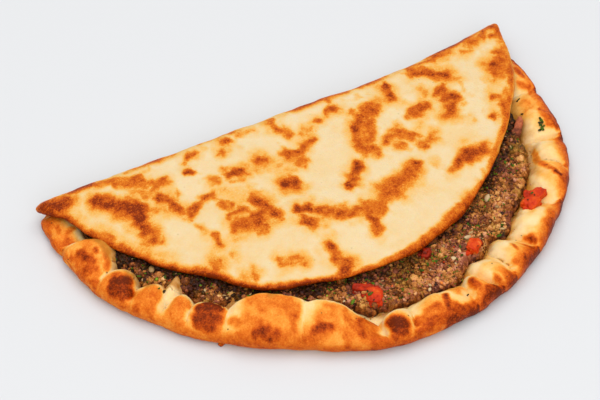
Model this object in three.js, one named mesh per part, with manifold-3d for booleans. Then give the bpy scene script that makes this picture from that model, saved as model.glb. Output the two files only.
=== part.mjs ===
// Meat fatayer: a round of hand-stretched flatbread whose front rim is pinched
// into pleats, spread with spiced mince and folded over itself, so that a
// crescent of filling stays open along the front.
//
// Millimetres, +Z up.  The bread is worked out flat, as the baker stretches it,
// with x along the fold and y across it, and is then bent over the fold line.
// The finished group stands on z = 0, centred on its own box.

import * as THREE from 'three';
import { mergeVertices } from 'three/addons/utils/BufferGeometryUtils.js';
import Module from 'manifold-3d';

const wasm = await Module();
wasm.setup();

// ---- driving dimensions, mm and degrees ----
const ROUND_RADIUS = 149.42;   // mean radius of the stretched round, laid flat
const SHEET = 4.0;             // thickness of the bread, below and above
const FOLD_Y = 16.2;           // fold line behind the centre of the round
const FOLD_DIP = [5.3, 78.0, 60.0];   // the fold pulls forward here: depth, x, half width
const FOLD_RISE = [7.0, 2.5];  // and runs back towards the tips: by how much, how late
const FOLD_RADIUS = 9.5;       // outer radius of the fold in the middle
const FOLD_TAPER = 1.5;        // by how much it is tighter at the two tips
const TIP_X = 145.0;           // where the tips are
const FLAP_RIM = [4.8, 12.0];  // thickened edge of the flap: height, width
const FLAP_DROOP = 2.4;        // the flap settles by this towards its edge
const FILL_GAP = 0.4;          // clearance between filling and bread
const FILL_TOP = 9.2;          // height of the open filling
const SLOT = [12.0, 26.0];     // filling meets the flap between these depths under its edge

// how far the hand-stretched outline strays from a circle: cos and sin parts
// of the first eight waves
const STRAY = [
  [0.09, 3.07], [-1.7, -2.77], [0.36, 0.02], [1.29, 2.0],
  [-1.6, 0.67], [-1.37, 0.48], [-0.4, 0.13], [-0.42, 0.35],
];
// short local bulges and nicks of the outline: angle, size, width
const NICKS = [
  [115, 3.4, 6.5], [165, 3.4, 3.2], [156.5, -2.4, 4.5], [168.5, -5.5, 1.2], [13.6, 2, 2.4], [-178.7, -2, 1.2],
  [-11.3, -1.6, 1.3], [-27.2, -1.2, 1.2], [-184, -0.7, 4], [-153, -1.7, 6], [-119, -2.9, 6.5], [-109, -1.5, 4],
  [-86, -1.9, 9], [-58, 0.8, 6], [-17.5, -1.2, 3],
];

// pinched pleats of the rim, one row each, running round the front from the
// left tip to the right one: angle of the crease before it on the outside and
// on the inside, height, width, ridge position, share of the height left in
// the crease, steepness of the rise after the crease and of the fall to the
// next one, how far in from the outline the crest lies, hollowing of the
// inner face under the crest
const PLEATS = [
  [-190.0, -190.0, 10.0, 18.0, 0.50, 0.60, 0.70, 0.90, 8.0, 0.1],
  [-178.9, -177.9, 15.5, 27.0, 0.44, 0.66, 0.30, 0.75, 18.5, 0.0],
  [-165.8, -166.6, 14.6, 22.0, 0.50, 0.68, 0.50, 0.60, 13.0, 0.0],
  [-157.1, -159.0, 14.5, 21.0, 0.50, 0.52, 0.55, 0.60, 14.0, 0.0],
  [-150.3, -151.0, 14.0, 21.0, 0.50, 0.42, 0.55, 0.65, 14.5, 0.0],
  [-143.7, -144.8, 14.4, 22.0, 0.50, 0.72, 0.24, 0.24, 14.2, 0.0],
  [-135.8, -136.4, 20.0, 31.0, 0.46, 0.88, 0.85, 0.70, 24.0, 0.7],
  [-118.8, -116.5, 17.5, 30.0, 0.26, 1.00, 0.30, 1.00, 23.0, 0.7],
  [-100.8, -101.0, 15.0, 19.0, 0.50, 0.42, 0.50, 0.55, 12.5, 0.0],
  [-95.0, -93.2, 15.0, 23.0, 0.52, 0.55, 0.65, 0.70, 12.0, 0.9],
  [-79.9, -78.6, 14.5, 21.5, 0.42, 0.50, 0.55, 0.85, 11.0, 1.2],
  [-72.5, -75.0, 15.0, 23.0, 0.36, 0.50, 0.50, 0.90, 11.0, 1.3],
  [-68.6, -66.8, 15.0, 21.5, 0.40, 0.50, 0.52, 0.85, 9.5, 1.3],
  [-59.4, -59.4, 15.0, 20.5, 0.38, 0.46, 0.52, 0.90, 8.0, 1.3],
  [-44.5, -46.6, 14.0, 21.5, 0.60, 0.48, 0.60, 0.30, 9.0, 1.3],
  [-36.6, -33.6, 13.2, 22.8, 0.38, 0.52, 0.45, 0.85, 10.0, 1.5],
  [-24.5, -26.9, 13.2, 23.4, 0.38, 0.50, 0.52, 0.85, 9.5, 1.5],
  [-9.6, -10.5, 10.5, 22.4, 0.45, 0.55, 0.60, 0.80, 8.0, 1.2],
  [2.0, 2.0, 6.2, 14.0, 0.55, 0.60, 0.70, 0.70, 5.9, 0.0],      // rounded right tip, carried over the fold
];
// how the free edge of the flap strays further from the round: angle, mm
const FLAP_TRIM = [
  [30, 0], [37.2, -0.1], [42.7, 0.1], [47, -0.4], [52.2, -0.9], [59.3, -0.5], [65, -0.2], [69.4, -0.5],
  [74.3, -1], [78.3, -1.1], [83.3, -0.5], [88.1, -0.5], [92.5, -1.2], [96.9, -1.3], [101.1, -1.3], [105, -2.3],
  [109, -2.6], [112.8, -1.6], [116.5, -1.2], [120.3, -1.7], [124.5, -3.3], [128.5, -2.8], [132.5, -1.6],
  [136.8, -0.7], [141.6, -1.7], [145.1, -1.8], [147.9, -1.5], [150.7, -1.4], [153.8, -0.2], [157.6, 0.1],
  [160, 0],
];
const RIGHT_TIP_END = 16.5;
const LEFT_TIP = [158.5, 170.0, 6.2, 14.0];   // rounded left tip: from, to, height, width

// open edge of the filling: angle and radius
const FILL_EDGE = [
  [-200, 128], [-185, 128], [-180, 129.5], [-168, 129], [-162, 129], [-158, 130.5], [-154.4, 124],
  [-152.6, 124], [-148.8, 121], [-146, 121.5], [-141.4, 121], [-137, 116], [-133, 115], [-121.7, 114],
  [-115, 114], [-108, 116], [-102.5, 123], [-98, 124.5], [-95, 123.5], [-91, 126], [-85, 126.5],
  [-80.5, 128.8], [-78, 128.6], [-75.9, 126], [-73.5, 122.5], [-72, 121.3], [-70, 123.5], [-68, 125.7],
  [-65.6, 124.9], [-63.4, 122.4], [-62, 123.2], [-60.3, 128.2], [-57, 127.8], [-54.5, 125.5],
  [-52, 125.6], [-48, 126], [-44, 126.8], [-39.9, 127.3], [-36, 127.6], [-33, 127.2], [-30, 126.2],
  [-24, 123.6], [-12, 121], [0, 119], [12, 116],
];

// diced tomato lying in the filling: x, y, height of its middle, length,
// width, height, turn, corner squareness, seed
const TOMATO = [
  [89.6, -98.2, 10.4, 15.0, 11.0, 6.4, 18, 3.0, 1],
  [44.6, -111.8, 10.2, 10.5, 7.4, 6.2, 38, 2.6, 2],
  [-21.0, -112.4, 9.8, 12.5, 9.5, 5.6, 70, 2.8, 3],
  [19.8, -103.8, 10.0, 6.2, 5.2, 4.6, 50, 2.6, 4],
  [115.4, -47.4, 9.4, 12.0, 5.0, 3.8, 42, 2.4, 5],
];

const BREAD_COLOUR = 0xecbc72;
const MEAT_COLOUR = 0x8f5a36;
const TOMATO_COLOUR = 0xd04a26;

// ---- small helpers ----
const RAD = Math.PI / 180;
const clamp01 = (t) => Math.min(1, Math.max(0, t));
const smooth = (a, b, t) => { const u = clamp01((t - a) / (b - a)); return u * u * (3 - 2 * u); };
const wrap = (a) => ((a + 180) % 360 + 360) % 360 - 180;
const bell = (d, width) => Math.exp(-(d * d) / (width * width));
function alongTable(table, t) {
  if (t <= table[0][0]) return table[0][1];
  for (let i = 1; i < table.length; i++) {
    if (t <= table[i][0]) {
      const [t0, v0] = table[i - 1], [t1, v1] = table[i];
      const u = (t - t0) / (t1 - t0);
      return v0 + (v1 - v0) * u * u * (3 - 2 * u);
    }
  }
  return table[table.length - 1][1];
}

function alongLine(table, t) {
  if (t <= table[0][0]) return table[0][1];
  for (let i = 1; i < table.length; i++) {
    const [t0, v0] = table[i - 1], [t1, v1] = table[i];
    if (t <= t1) return v0 + (v1 - v0) * (t - t0) / (t1 - t0);
  }
  return table[table.length - 1][1];
}

// ---- the flat round ----
function outline(deg) {
  let r = ROUND_RADIUS;
  STRAY.forEach(([a, b], k) => {
    r += a * Math.cos((k + 1) * deg * RAD) + b * Math.sin((k + 1) * deg * RAD);
  });
  for (const [at, size, width] of NICKS) r += size * bell(wrap(deg - at), width);
  return r + alongTable(FLAP_TRIM, wrap(deg));
}

// angle of the crease before pleat i: it slants from the outside to the inside
const creaseAt = (i, beta) => (i < PLEATS.length
  ? PLEATS[i][0] + (PLEATS[i][1] - PLEATS[i][0]) * smooth(0, 150, beta) : RIGHT_TIP_END);

// heights of the pleats joined up smoothly, for the wall outside
const ENVELOPE = PLEATS.map((row, i) => [(row[0] + creaseAt(i + 1, 0)) / 2, row[2] * 0.9])
  .concat([[RIGHT_TIP_END, FLAP_RIM[0]], [-201.5, FLAP_RIM[0]], [-190, 8.0]])
  .sort((p, q) => p[0] - q[0]);
function envelope(a) {
  for (let i = 1; i < ENVELOPE.length; i++) {
    const [a0, v0] = ENVELOPE[i - 1], [a1, v1] = ENVELOPE[i];
    if (a <= a1) return v0 + (v1 - v0) * clamp01((a - a0) / (a1 - a0));
  }
  return ENVELOPE[ENVELOPE.length - 1][1];
}

// the rim at an angle: height, inward width, height of the wall outside, how
// near a crease, hollowing, and how far in the crest lies
function rim(deg, beta) {
  let a = wrap(deg);
  if (a > 158.5) a -= 360;                          // left tip is -201.5 .. -190
  const [h0, w0] = FLAP_RIM;
  if (a >= RIGHT_TIP_END) return [h0, w0, h0, 0, 0, 0.42 * w0];
  const [tipFrom, tipTo, tipH, tipW] = LEFT_TIP;
  if (a < tipTo - 360) {                            // left tip
    const [, , firstH, firstW, , share, , , firstC] = PLEATS[0];
    const s = (a - (tipFrom - 360)) / (tipTo - tipFrom);
    const k = Math.sin(Math.PI * clamp01(s)) ** 0.7;
    const late = smooth(0.5, 1, s) * (1 - k);
    const base = smooth(0, 1, s) * (firstH * share - h0);
    const h = h0 + base + (tipH - h0 - base) * k;
    return [h, w0 + (tipW - w0) * k + (0.82 * firstW - w0) * late, h, 0, 0,
      0.42 * w0 + 0.42 * (tipW - w0) * k + (0.62 * firstC - 0.42 * w0) * late];
  }
  let i = PLEATS.length - 1;
  while (i > 0 && a < creaseAt(i, beta)) i--;
  const row = PLEATS[i], next = PLEATS[i + 1], before = PLEATS[Math.max(0, i - 1)];
  const s = clamp01((a - creaseAt(i, beta)) / (creaseAt(i + 1, beta) - creaseAt(i, beta)));
  const [, , height, width, ridge, share, rise, fall, crest, hollow] = row;
  const t = Math.max(s, 1e-6) ** (Math.log(0.5) / Math.log(ridge));
  const bump = Math.max(0, Math.sin(Math.PI * clamp01(t)));
  const k = bump ** (t < 0.5 ? rise : fall), full = bump ** 0.8;
  const lowBefore = Math.max(h0, share * Math.min(height, before[2]));
  const lowAfter = next ? Math.max(h0, next[5] * Math.min(height, next[2])) : h0;
  const low = lowBefore + (lowAfter - lowBefore) * smooth(0, 1, s);
  const h = low + (Math.max(height, low) - low) * k;
  const end = next ? 0 : smooth(0.4, 1, s);
  const across = (col, part, atEnd) => {
    const from = part * Math.min(row[col], before[col]);
    const to = next ? part * Math.min(row[col], next[col]) : atEnd;
    const least = from + (to - from) * smooth(0, 1, s);
    return least + (Math.max(row[col], least) - least) * full * (1 - end);
  };
  // to the right the pleats run down to the filling
  const room = outline(deg) - alongLine(FILL_EDGE, a) - 1.2;
  const own = across(3, 0.82, w0);
  const w = own + (room - own) * smooth(-98, -90, a) * (1 - smooth(-6, 4, a));
  const c = across(8, a > -137.5 && a < -110 ? 0.95 : 0.62, 0.42 * w0);
  return [h, w, envelope(a), 1 - k, hollow * full, c];
}

// section through the rim: how far in from the outline, and how high, at
// beta from -90 (underside) through 0 (outermost) and 90 (crest) to 180 (floor)
function section(deg, beta) {
  const [h, w, wall, close, hollow, crest] = rim(deg, beta);
  const env = Math.max(wall, h * 0.9), foot = Math.min(crest, 6.5);
  const out = 0.42 * Math.min(env, 17.0);
  const c = Math.cos(beta * RAD), s = Math.sin(beta * RAD), up = Math.max(0, s);
  const top = env + (h - env) * smooth(5, 75, beta);
  const dent = (close ** 1.5 + 1.1 * close ** 7) * bell(beta - 55, 38);
  const belly = env > 8 ? 0.6 * (1 - close) * bell(beta - 40, 35) : 0;
  if (beta <= 0) return [foot * (1 - c) + dent - belly, out * (1 + s)];
  if (beta <= 90) return [crest * (1 - c) + dent - belly, out + (Math.max(top, out) - out) * up ** 0.85];
  return [crest - (w - crest) * c + dent - belly, SHEET + (h - SHEET) * up ** (1 + 0.7 * hollow)];
}

// ---- the fold ----
const foldY = (x) => FOLD_Y - FOLD_DIP[0] * bell(x - FOLD_DIP[1], FOLD_DIP[2])
  + FOLD_RISE[0] * (Math.abs(x) / TIP_X) ** FOLD_RISE[1];
const foldR = (x) => FOLD_RADIUS - FOLD_TAPER * Math.min(1, Math.abs(x) / TIP_X) ** 4;
const foldArc = (x) => Math.PI * (foldR(x) - SHEET / 2);

// the flap's own rise and fall, from the flat position
function flapLift(x, y) {
  const deg = Math.atan2(y, x) / RAD;
  const inward = outline(deg) - Math.hypot(x, y);
  const past = y - foldY(x) - foldArc(x);
  const away = smooth(0, 45, past);
  const droop = FLAP_DROOP * (1 - smooth(0, 34, inward)) * (1 - 0.75 * smooth(95, 140, Math.abs(x)));
  const wave = 0.55 * Math.sin(x / 21 + 0.8) * Math.cos(y / 27) + 0.35 * Math.sin(x / 37 - y / 33);
  return away * (wave * smooth(2, 30, inward) - droop);
}
function fold(x, y, z) {
  const yf = foldY(x), r = foldR(x), arc = foldArc(x);
  if (y <= yf) return [x, y, z];
  if (y < yf + arc) {
    const a = (y - yf) / (r - SHEET / 2);
    return [x, yf + (r - z) * Math.sin(a), r - (r - z) * Math.cos(a)];
  }
  return [x, yf - (y - yf - arc), 2 * r - z + flapLift(x, y)];
}

// ---- closed body from stacked rings, with a pole at each end; a ring may
// have fewer points than its neighbour ----
function ringBody(pole0, rings, pole1) {
  const pos = [], idx = [];
  const push = (p) => { pos.push(p[0], p[1], p[2]); return pos.length / 3 - 1; };
  const a = push(pole0);
  const at = rings.map((ring) => ring.map(push));
  const b = push(pole1);
  const first = at[0], last = at[at.length - 1];
  for (let i = 0; i < first.length; i++) idx.push(a, first[(i + 1) % first.length], first[i]);
  for (let k = 0; k + 1 < at.length; k++) {
    const low = at[k], high = at[k + 1], n = low.length, m = high.length;
    let i = 0, j = 0, turn = k;
    while (i < n || j < m) {
      const due = i / n - j / m;
      const stepLow = j >= m || (i < n && (due < -1e-9 || (Math.abs(due) < 1e-9 && turn % 2)));
      if (stepLow) { idx.push(low[i], low[(i + 1) % n], high[j % m]); i++; }
      else { idx.push(low[i % n], high[(j + 1) % m], high[j]); j++; }
      if (Math.abs(i / n - j / m) < 1e-9) turn++;
    }
  }
  for (let i = 0; i < last.length; i++) idx.push(b, last[i], last[(i + 1) % last.length]);
  const g = new THREE.BufferGeometry();
  g.setAttribute('position', new THREE.Float32BufferAttribute(pos, 3));
  g.setIndex(idx);
  return g;
}

// ---- bread ----
// columns round the outline, each an angle for a given beta: closest together
// at the creases and through the fold
const columns = [];
for (let i = 0; i < PLEATS.length - 1; i++) {
  const ridge = PLEATS[i][4], long = PLEATS[i + 1][0] - PLEATS[i][0];
  const on = (t) => ridge + (1 - ridge) * t;
  let steps = [0, 0.5 * ridge, ridge, on(0.55)];
  if (long > 7.7) steps = [0, 0.08, 0.5 * ridge, ridge, on(0.5), 0.92];
  if (long > 16) steps = [0, 0.05, 0.4 * ridge, 0.7 * ridge, ridge, on(0.3), on(0.6), 0.93];
  for (const s of steps) columns.push((beta) => creaseAt(i, beta) + s * (creaseAt(i + 1, beta) - creaseAt(i, beta)));
}
for (const a of [2, 4.6, 6.8, 8.3, 9.7, 11, 12.3, 13.6, 14.9, 16.3, 18.2]) columns.push(() => a);
for (let k = 0; k < 30; k++) columns.push(() => 21.5 + (159 - 21.5) * k / 29);
for (const a of [161.2, 163, 164.5, 165.9, 167.2, 168.5, 169.4]) columns.push(() => a);
if (columns.length % 2) columns.splice(-20, 1);

// the inside of the round is a disc of rings whose rows crowd into the fold:
// knots of the crowding, ring row against real row
const CROWD = [[-1, -1], [0.06, 0.015], [0.12, 0.06], [0.66, 0.28], [0.72, 0.33], [1, 1]];
const crowd = (b) => {
  for (let i = 1; i < CROWD.length; i++) {
    if (b <= CROWD[i][0]) {
      const [b0, v0] = CROWD[i - 1], [b1, v1] = CROWD[i];
      return v0 + (v1 - v0) * (b - b0) / (b1 - b0);
    }
  }
  return 1;
};
const uncrowd = (v) => {
  for (let i = 1; i < CROWD.length; i++) {
    if (v <= CROWD[i][1]) {
      const [b0, v0] = CROWD[i - 1], [b1, v1] = CROWD[i];
      return b0 + (b1 - b0) * (v - v0) / (v1 - v0);
    }
  }
  return 1;
};
const ringAngles = (beta) => columns.map((column) => {
  const deg = column(beta);
  const b = uncrowd(Math.sin(deg * RAD));
  const a = Math.sqrt(Math.max(0, 1 - b * b)) * (Math.cos(deg * RAD) < 0 ? -1 : 1);
  return Math.atan2(b, a);
});
function discPoint(angle, size, reach, z) {
  const b0 = size * Math.sin(angle), a0 = size * Math.cos(angle);
  const v = crowd(b0);
  const u = a0 * Math.sqrt(Math.max(0, 1 - v * v)) / Math.sqrt(1 - b0 * b0);
  const deg = Math.atan2(v, u) / RAD;
  const r = Math.hypot(u, v) * reach(deg);
  return fold(r * Math.cos(deg * RAD), r * Math.sin(deg * RAD), z);
}
const underReach = (deg) => outline(deg) - section(deg, -90)[0];
const floorReach = (deg) => outline(deg) - section(deg, 180)[0];

const INNER = [0.1, 0.2, 0.29, 0.37, 0.45, 0.53, 0.61, 0.69, 0.78];   // rings of half as many points
const OUTER = [0.89];
function bread() {
  const disc = (beta, reach, z) => {
    const at = ringAngles(beta);
    return [
      ...INNER.map((size) => at.filter((_, i) => i % 2 === 0).map((angle) => discPoint(angle, size, reach, z))),
      ...OUTER.map((size) => at.map((angle) => discPoint(angle, size, reach, z))),
    ];
  };
  const edge = [-90, -42, 0, 42, 90, 122, 152, 180].map((beta) => columns.map((column) => {
    const deg = column(beta);
    const [inward, z] = section(deg, beta);
    const r = outline(deg) - inward;
    return fold(r * Math.cos(deg * RAD), r * Math.sin(deg * RAD), z);
  }));
  const rings = [...disc(-90, underReach, 0), ...edge, ...disc(180, floorReach, SHEET).reverse()];
  const v = crowd(0) * ROUND_RADIUS;
  return ringBody(fold(0, v, 0), rings, fold(0, v, SHEET));
}

// ---- filling ----
const FILL_CENTRE = [0, -42];
const FILL_BOTTOM = SHEET + 0.35;

// top of the filling at a folded position
function fillTop(x, y) {
  const flat = 2 * foldY(x) + foldArc(x) - y;
  const deg = Math.atan2(flat, x) / RAD;
  const under = outline(deg) - Math.hypot(x, flat);
  const sheet = 2 * foldR(x) - SHEET + flapLift(x, flat) + 1.2;   // trimmed by the flap later
  const open = FILL_TOP + 0.5 * Math.sin(x / 9 + 1) * Math.cos(y / 7) + 0.4 * Math.sin(x / 4.3 - y / 6.1);
  return open + (sheet - open) * smooth(SLOT[0], SLOT[1], under);
}
function fillReach(cx, cy) {
  // distance from the filling's middle to its edge in direction (cx, cy)
  const inside = (t) => {
    const x = FILL_CENTRE[0] + t * cx, y = FILL_CENTRE[1] + t * cy;
    if (y > foldY(x) - 0.3) return false;
    let deg = Math.atan2(y, x) / RAD;
    const r = Math.hypot(x, y);
    if (y > 0 && Math.abs(x) < 60) return true;
    const a = deg > 90 ? deg - 360 : deg;
    const limit = Math.min(alongLine(FILL_EDGE, a), outline(deg) - section(deg, 180)[0] - 1.1);
    return r < limit;
  };
  let lo = 0, hi = 220;
  for (let k = 0; k < 40; k++) { const m = (lo + hi) / 2; if (inside(m)) lo = m; else hi = m; }
  return lo;
}
function filling() {
  const N = 78, dirs = [];
  for (let i = 0; i < N; i++) {
    const t = 2 * Math.PI * i / N;
    // crowd the directions towards the two narrow ends
    const a = t - 0.42 * Math.sin(2 * t);
    dirs.push([Math.cos(a), Math.sin(a)]);
  }
  const edge = dirs.map(([cx, cy]) => {
    const t = fillReach(cx, cy);
    return [FILL_CENTRE[0] + t * cx, FILL_CENTRE[1] + t * cy];
  });
  const rings = [];
  // side: a rounded shoulder in front, a half round where it fills the fold
  const walls = [[0, 0], [0.16, 0.72], [0.5, 1.0], [0.84, 0.72], [1, 0]];
  for (const [up, out] of walls) {
    rings.push(edge.map(([x, y]) => {
      const back = smooth(-8, -0.5, y - foldY(x));
      const tip = 1 - 0.55 * smooth(96, 124, Math.abs(x));
      const top = back > 0
        ? 7.6 + back * (2 * foldR(x) - SHEET - FILL_GAP - 0.3 - 7.6) : Math.min(fillTop(x, y), 7.6);
      const bulge = back * (foldR(x) - SHEET - 0.9) * tip;
      return [x, y + bulge * out, FILL_BOTTOM + (top - FILL_BOTTOM) * up];
    }));
  }
  for (const size of [0.975, 0.94, 0.9, 0.855, 0.805, 0.75, 0.69, 0.62, 0.54, 0.44, 0.3, 0.15]) {
    rings.push(edge.map(([x, y]) => {
      const px = FILL_CENTRE[0] + (x - FILL_CENTRE[0]) * size;
      const py = FILL_CENTRE[1] + (y - FILL_CENTRE[1]) * size;
      return [px, py, fillTop(px, py)];
    }));
  }
  const [cx, cy] = FILL_CENTRE;
  return ringBody([cx, cy, FILL_BOTTOM], rings, [cx, cy, fillTop(cx, cy)]);
}

// ---- diced tomato: a rounded block with uneven faces ----
function dice([x, y, z, length, width, height, turn, square, seed], grow = 0) {
  const g = mergeVertices((() => {
    const ico = new THREE.IcosahedronGeometry(1, length > 11 ? 2 : 1);
    ico.deleteAttribute('normal'); ico.deleteAttribute('uv');
    return ico;
  })(), 1e-4);
  const p = g.getAttribute('position');
  const c = Math.cos(turn * RAD), s = Math.sin(turn * RAD);
  for (let i = 0; i < p.count; i++) {
    const v = [p.getX(i), p.getY(i), p.getZ(i)];
    const m = (Math.abs(v[0]) ** square + Math.abs(v[1]) ** square + Math.abs(v[2]) ** square) ** (-1 / square);
    const lump = 1 + 0.09 * Math.sin(3.1 * v[0] + 2.3 * v[1] * seed + seed) + 0.06 * Math.cos(4.7 * v[1] - 2.9 * v[2] + 2 * seed);
    const px = v[0] * m * (length / 2 * lump + grow), py = v[1] * m * (width / 2 * lump + grow);
    const pz = v[2] * m * (height / 2 * lump + grow);
    p.setXYZ(i, x + px * c - py * s, y + px * s + py * c, z + pz);
  }
  return g;
}

function toSolid(g) {
  return new wasm.Manifold(new wasm.Mesh({
    numProp: 3,
    vertProperties: new Float32Array(g.getAttribute('position').array),
    triVerts: new Uint32Array(g.getIndex().array),
  }));
}
function toGeometry(solid) {
  const m = solid.getMesh();
  const g = new THREE.BufferGeometry();
  const pos = new Float32Array(m.numVert * 3);
  for (let i = 0; i < m.numVert; i++) {
    for (let k = 0; k < 3; k++) pos[3 * i + k] = m.vertProperties[i * m.numProp + k];
  }
  g.setAttribute('position', new THREE.BufferAttribute(pos, 3));
  g.setIndex(new THREE.BufferAttribute(new Uint32Array(m.triVerts), 1));
  return g;
}

// ---- assembly ----
const breadGeometry = bread();
// the filling is trimmed to the flap that lies on it
const breadSolid = toSolid(breadGeometry);
let meat = toSolid(filling()).subtract(breadSolid.translate([0, 0, -FILL_GAP])).subtract(breadSolid.translate([0, 0, 0.32]));
meat = meat.decompose().sort((a, b) => b.volume() - a.volume())[0];
for (const t of TOMATO) meat = meat.subtract(toSolid(dice(t, 0.35)));
const meatGeometry = toGeometry(meat);

const group = new THREE.Group();
const add = (name, geometry, colour, roughness) => {
  const material = new THREE.MeshStandardMaterial({ color: colour, roughness, metalness: 0, flatShading: true });
  const mesh = new THREE.Mesh(geometry, material);
  mesh.name = name;
  group.add(mesh);
  return mesh;
};
add('dough', breadGeometry, BREAD_COLOUR, 0.75);
add('meat_filling', meatGeometry, MEAT_COLOUR, 0.7);
// a piece that leans on the rim is seated on it
TOMATO.forEach((t, i) => {
  const whole = toSolid(dice(t));
  const seated = whole.subtract(breadSolid.translate([0, 0, 0.35]));
  const geometry = seated.volume() < whole.volume() - 0.01
    ? toGeometry(seated.decompose().sort((a, b) => b.volume() - a.volume())[0]) : dice(t);
  add(`tomato_${i + 1}`, geometry, TOMATO_COLOUR, 0.35);
});

// stand the whole on z = 0, centred on its own box
const box = new THREE.Box3().setFromObject(group);
export const SHIFT = [-(box.min.x + box.max.x) / 2, -(box.min.y + box.max.y) / 2, -box.min.z];
group.position.set(...SHIFT);
group.updateMatrixWorld(true);

export default group;
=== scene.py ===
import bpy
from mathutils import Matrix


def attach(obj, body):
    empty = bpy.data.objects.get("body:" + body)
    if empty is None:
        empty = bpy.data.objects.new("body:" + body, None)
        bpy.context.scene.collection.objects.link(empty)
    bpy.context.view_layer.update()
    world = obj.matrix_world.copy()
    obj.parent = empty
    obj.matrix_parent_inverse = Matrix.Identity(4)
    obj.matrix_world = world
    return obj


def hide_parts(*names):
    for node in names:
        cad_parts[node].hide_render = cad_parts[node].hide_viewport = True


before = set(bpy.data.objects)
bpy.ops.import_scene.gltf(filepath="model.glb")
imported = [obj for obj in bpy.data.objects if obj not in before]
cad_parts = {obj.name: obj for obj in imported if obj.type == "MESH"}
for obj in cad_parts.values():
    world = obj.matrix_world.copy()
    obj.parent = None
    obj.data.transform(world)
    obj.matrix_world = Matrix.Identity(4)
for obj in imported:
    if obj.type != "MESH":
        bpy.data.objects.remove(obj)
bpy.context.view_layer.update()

import math

import bmesh
import bpy
import numpy as np

SHIFT = np.array([-0.077, 58.768, 0.0])      # bread frame to row frame, mm
rng = np.random.default_rng(20)

# ==== geometry ====
ROUND_RADIUS = 149.42
SHEET = 4.0
FOLD_Y, FOLD_DIP, FOLD_RISE = 16.2, (5.3, 78.0, 60.0), (7.0, 2.5)
FOLD_RADIUS, FOLD_TAPER, TIP_X = 9.5, 1.5, 145.0
FLAP_RIM, FLAP_DROOP = (4.8, 12.0), 2.4
FILL_TOP, SLOT = 9.2, (12.0, 26.0)
STRAY = [(0.09, 3.07), (-1.7, -2.77), (0.36, 0.02), (1.29, 2.0),
         (-1.6, 0.67), (-1.37, 0.48), (-0.4, 0.13), (-0.42, 0.35)]
NICKS = [(115, 3.4, 6.5), (165, 3.4, 3.2), (156.5, -2.4, 4.5), (168.5, -5.5, 1.2), (13.6, 2.0, 2.4),
         (-178.7, -2.0, 1.2), (-11.3, -1.6, 1.3), (-27.2, -1.2, 1.2), (-184, -0.7, 4.0), (-153, -1.7, 6.0),
         (-119, -2.9, 6.5), (-109, -1.5, 4.0), (-86, -1.9, 9.0), (-58, 0.8, 6.0), (-17.5, -1.2, 3.0)]
# pinched pleats: crease angle outside and inside, height, width, ridge
# position, share of the height left in the crease, steepness of the rise
# after the crease and of the fall to the next one, how far in the crest is
# (mm from the outline), lip
PLEATS = [
    (-190.0, -190.0, 10.0, 18.0, 0.50, 0.60, 0.70, 0.90, 8.0, 0.1),
    (-178.9, -177.9, 15.5, 27.0, 0.44, 0.66, 0.30, 0.75, 18.5, 0.0),
    (-165.8, -166.6, 14.6, 22.0, 0.50, 0.68, 0.50, 0.60, 13.0, 0.0),
    (-157.1, -159.0, 14.5, 21.0, 0.50, 0.52, 0.55, 0.60, 14.0, 0.0),
    (-150.3, -151.0, 14.0, 21.0, 0.50, 0.42, 0.55, 0.65, 14.5, 0.0),
    (-143.7, -144.8, 14.4, 22.0, 0.50, 0.72, 0.24, 0.24, 14.2, 0.0),
    (-135.8, -136.4, 20.0, 31.0, 0.46, 0.88, 0.85, 0.70, 24.0, 0.7),
    (-118.8, -116.5, 17.5, 30.0, 0.26, 1.00, 0.30, 1.00, 23.0, 0.7),
    (-100.8, -101.0, 15.0, 19.0, 0.50, 0.42, 0.50, 0.55, 12.5, 0.0),
    (-95.0, -93.2, 15.0, 23.0, 0.52, 0.55, 0.65, 0.70, 12.0, 0.9),
    (-79.9, -78.6, 14.5, 21.5, 0.42, 0.50, 0.55, 0.85, 11.0, 1.2),
    (-72.5, -75.0, 15.0, 23.0, 0.36, 0.50, 0.50, 0.90, 11.0, 1.3),
    (-68.6, -66.8, 15.0, 21.5, 0.40, 0.50, 0.52, 0.85, 9.5, 1.3),
    (-59.4, -59.4, 15.0, 20.5, 0.38, 0.46, 0.52, 0.90, 8.0, 1.3),
    (-44.5, -46.6, 14.0, 21.5, 0.60, 0.48, 0.60, 0.30, 9.0, 1.3),
    (-36.6, -33.6, 13.2, 22.8, 0.38, 0.52, 0.45, 0.85, 10.0, 1.5),
    (-24.5, -26.9, 13.2, 23.4, 0.38, 0.50, 0.52, 0.85, 9.5, 1.5),
    (-9.6, -10.5, 10.5, 22.4, 0.45, 0.55, 0.60, 0.80, 8.0, 1.2),
    (2.0, 2.0, 6.2, 14.0, 0.55, 0.60, 0.70, 0.70, 5.9, 0.0),
]
# how far the dough stays pale after each crease and before it, mm
VALLEY = [
    (1.5, 1.5), (2.0, 2.0), (3.0, 2.4), (3.0, 2.6), (3.2, 2.8), (2.2, 3.0), (9.0, 0.8), (8.5, 3.4), (2.6, 4.5), (3.4, 3.0),
    (2.6, 2.2), (2.2, 2.0), (2.4, 2.2), (2.6, 2.4), (2.2, 2.0), (2.4, 2.2), (2.6, 2.4), (2.2, 2.0), (1.5, 1.5),
]
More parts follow.
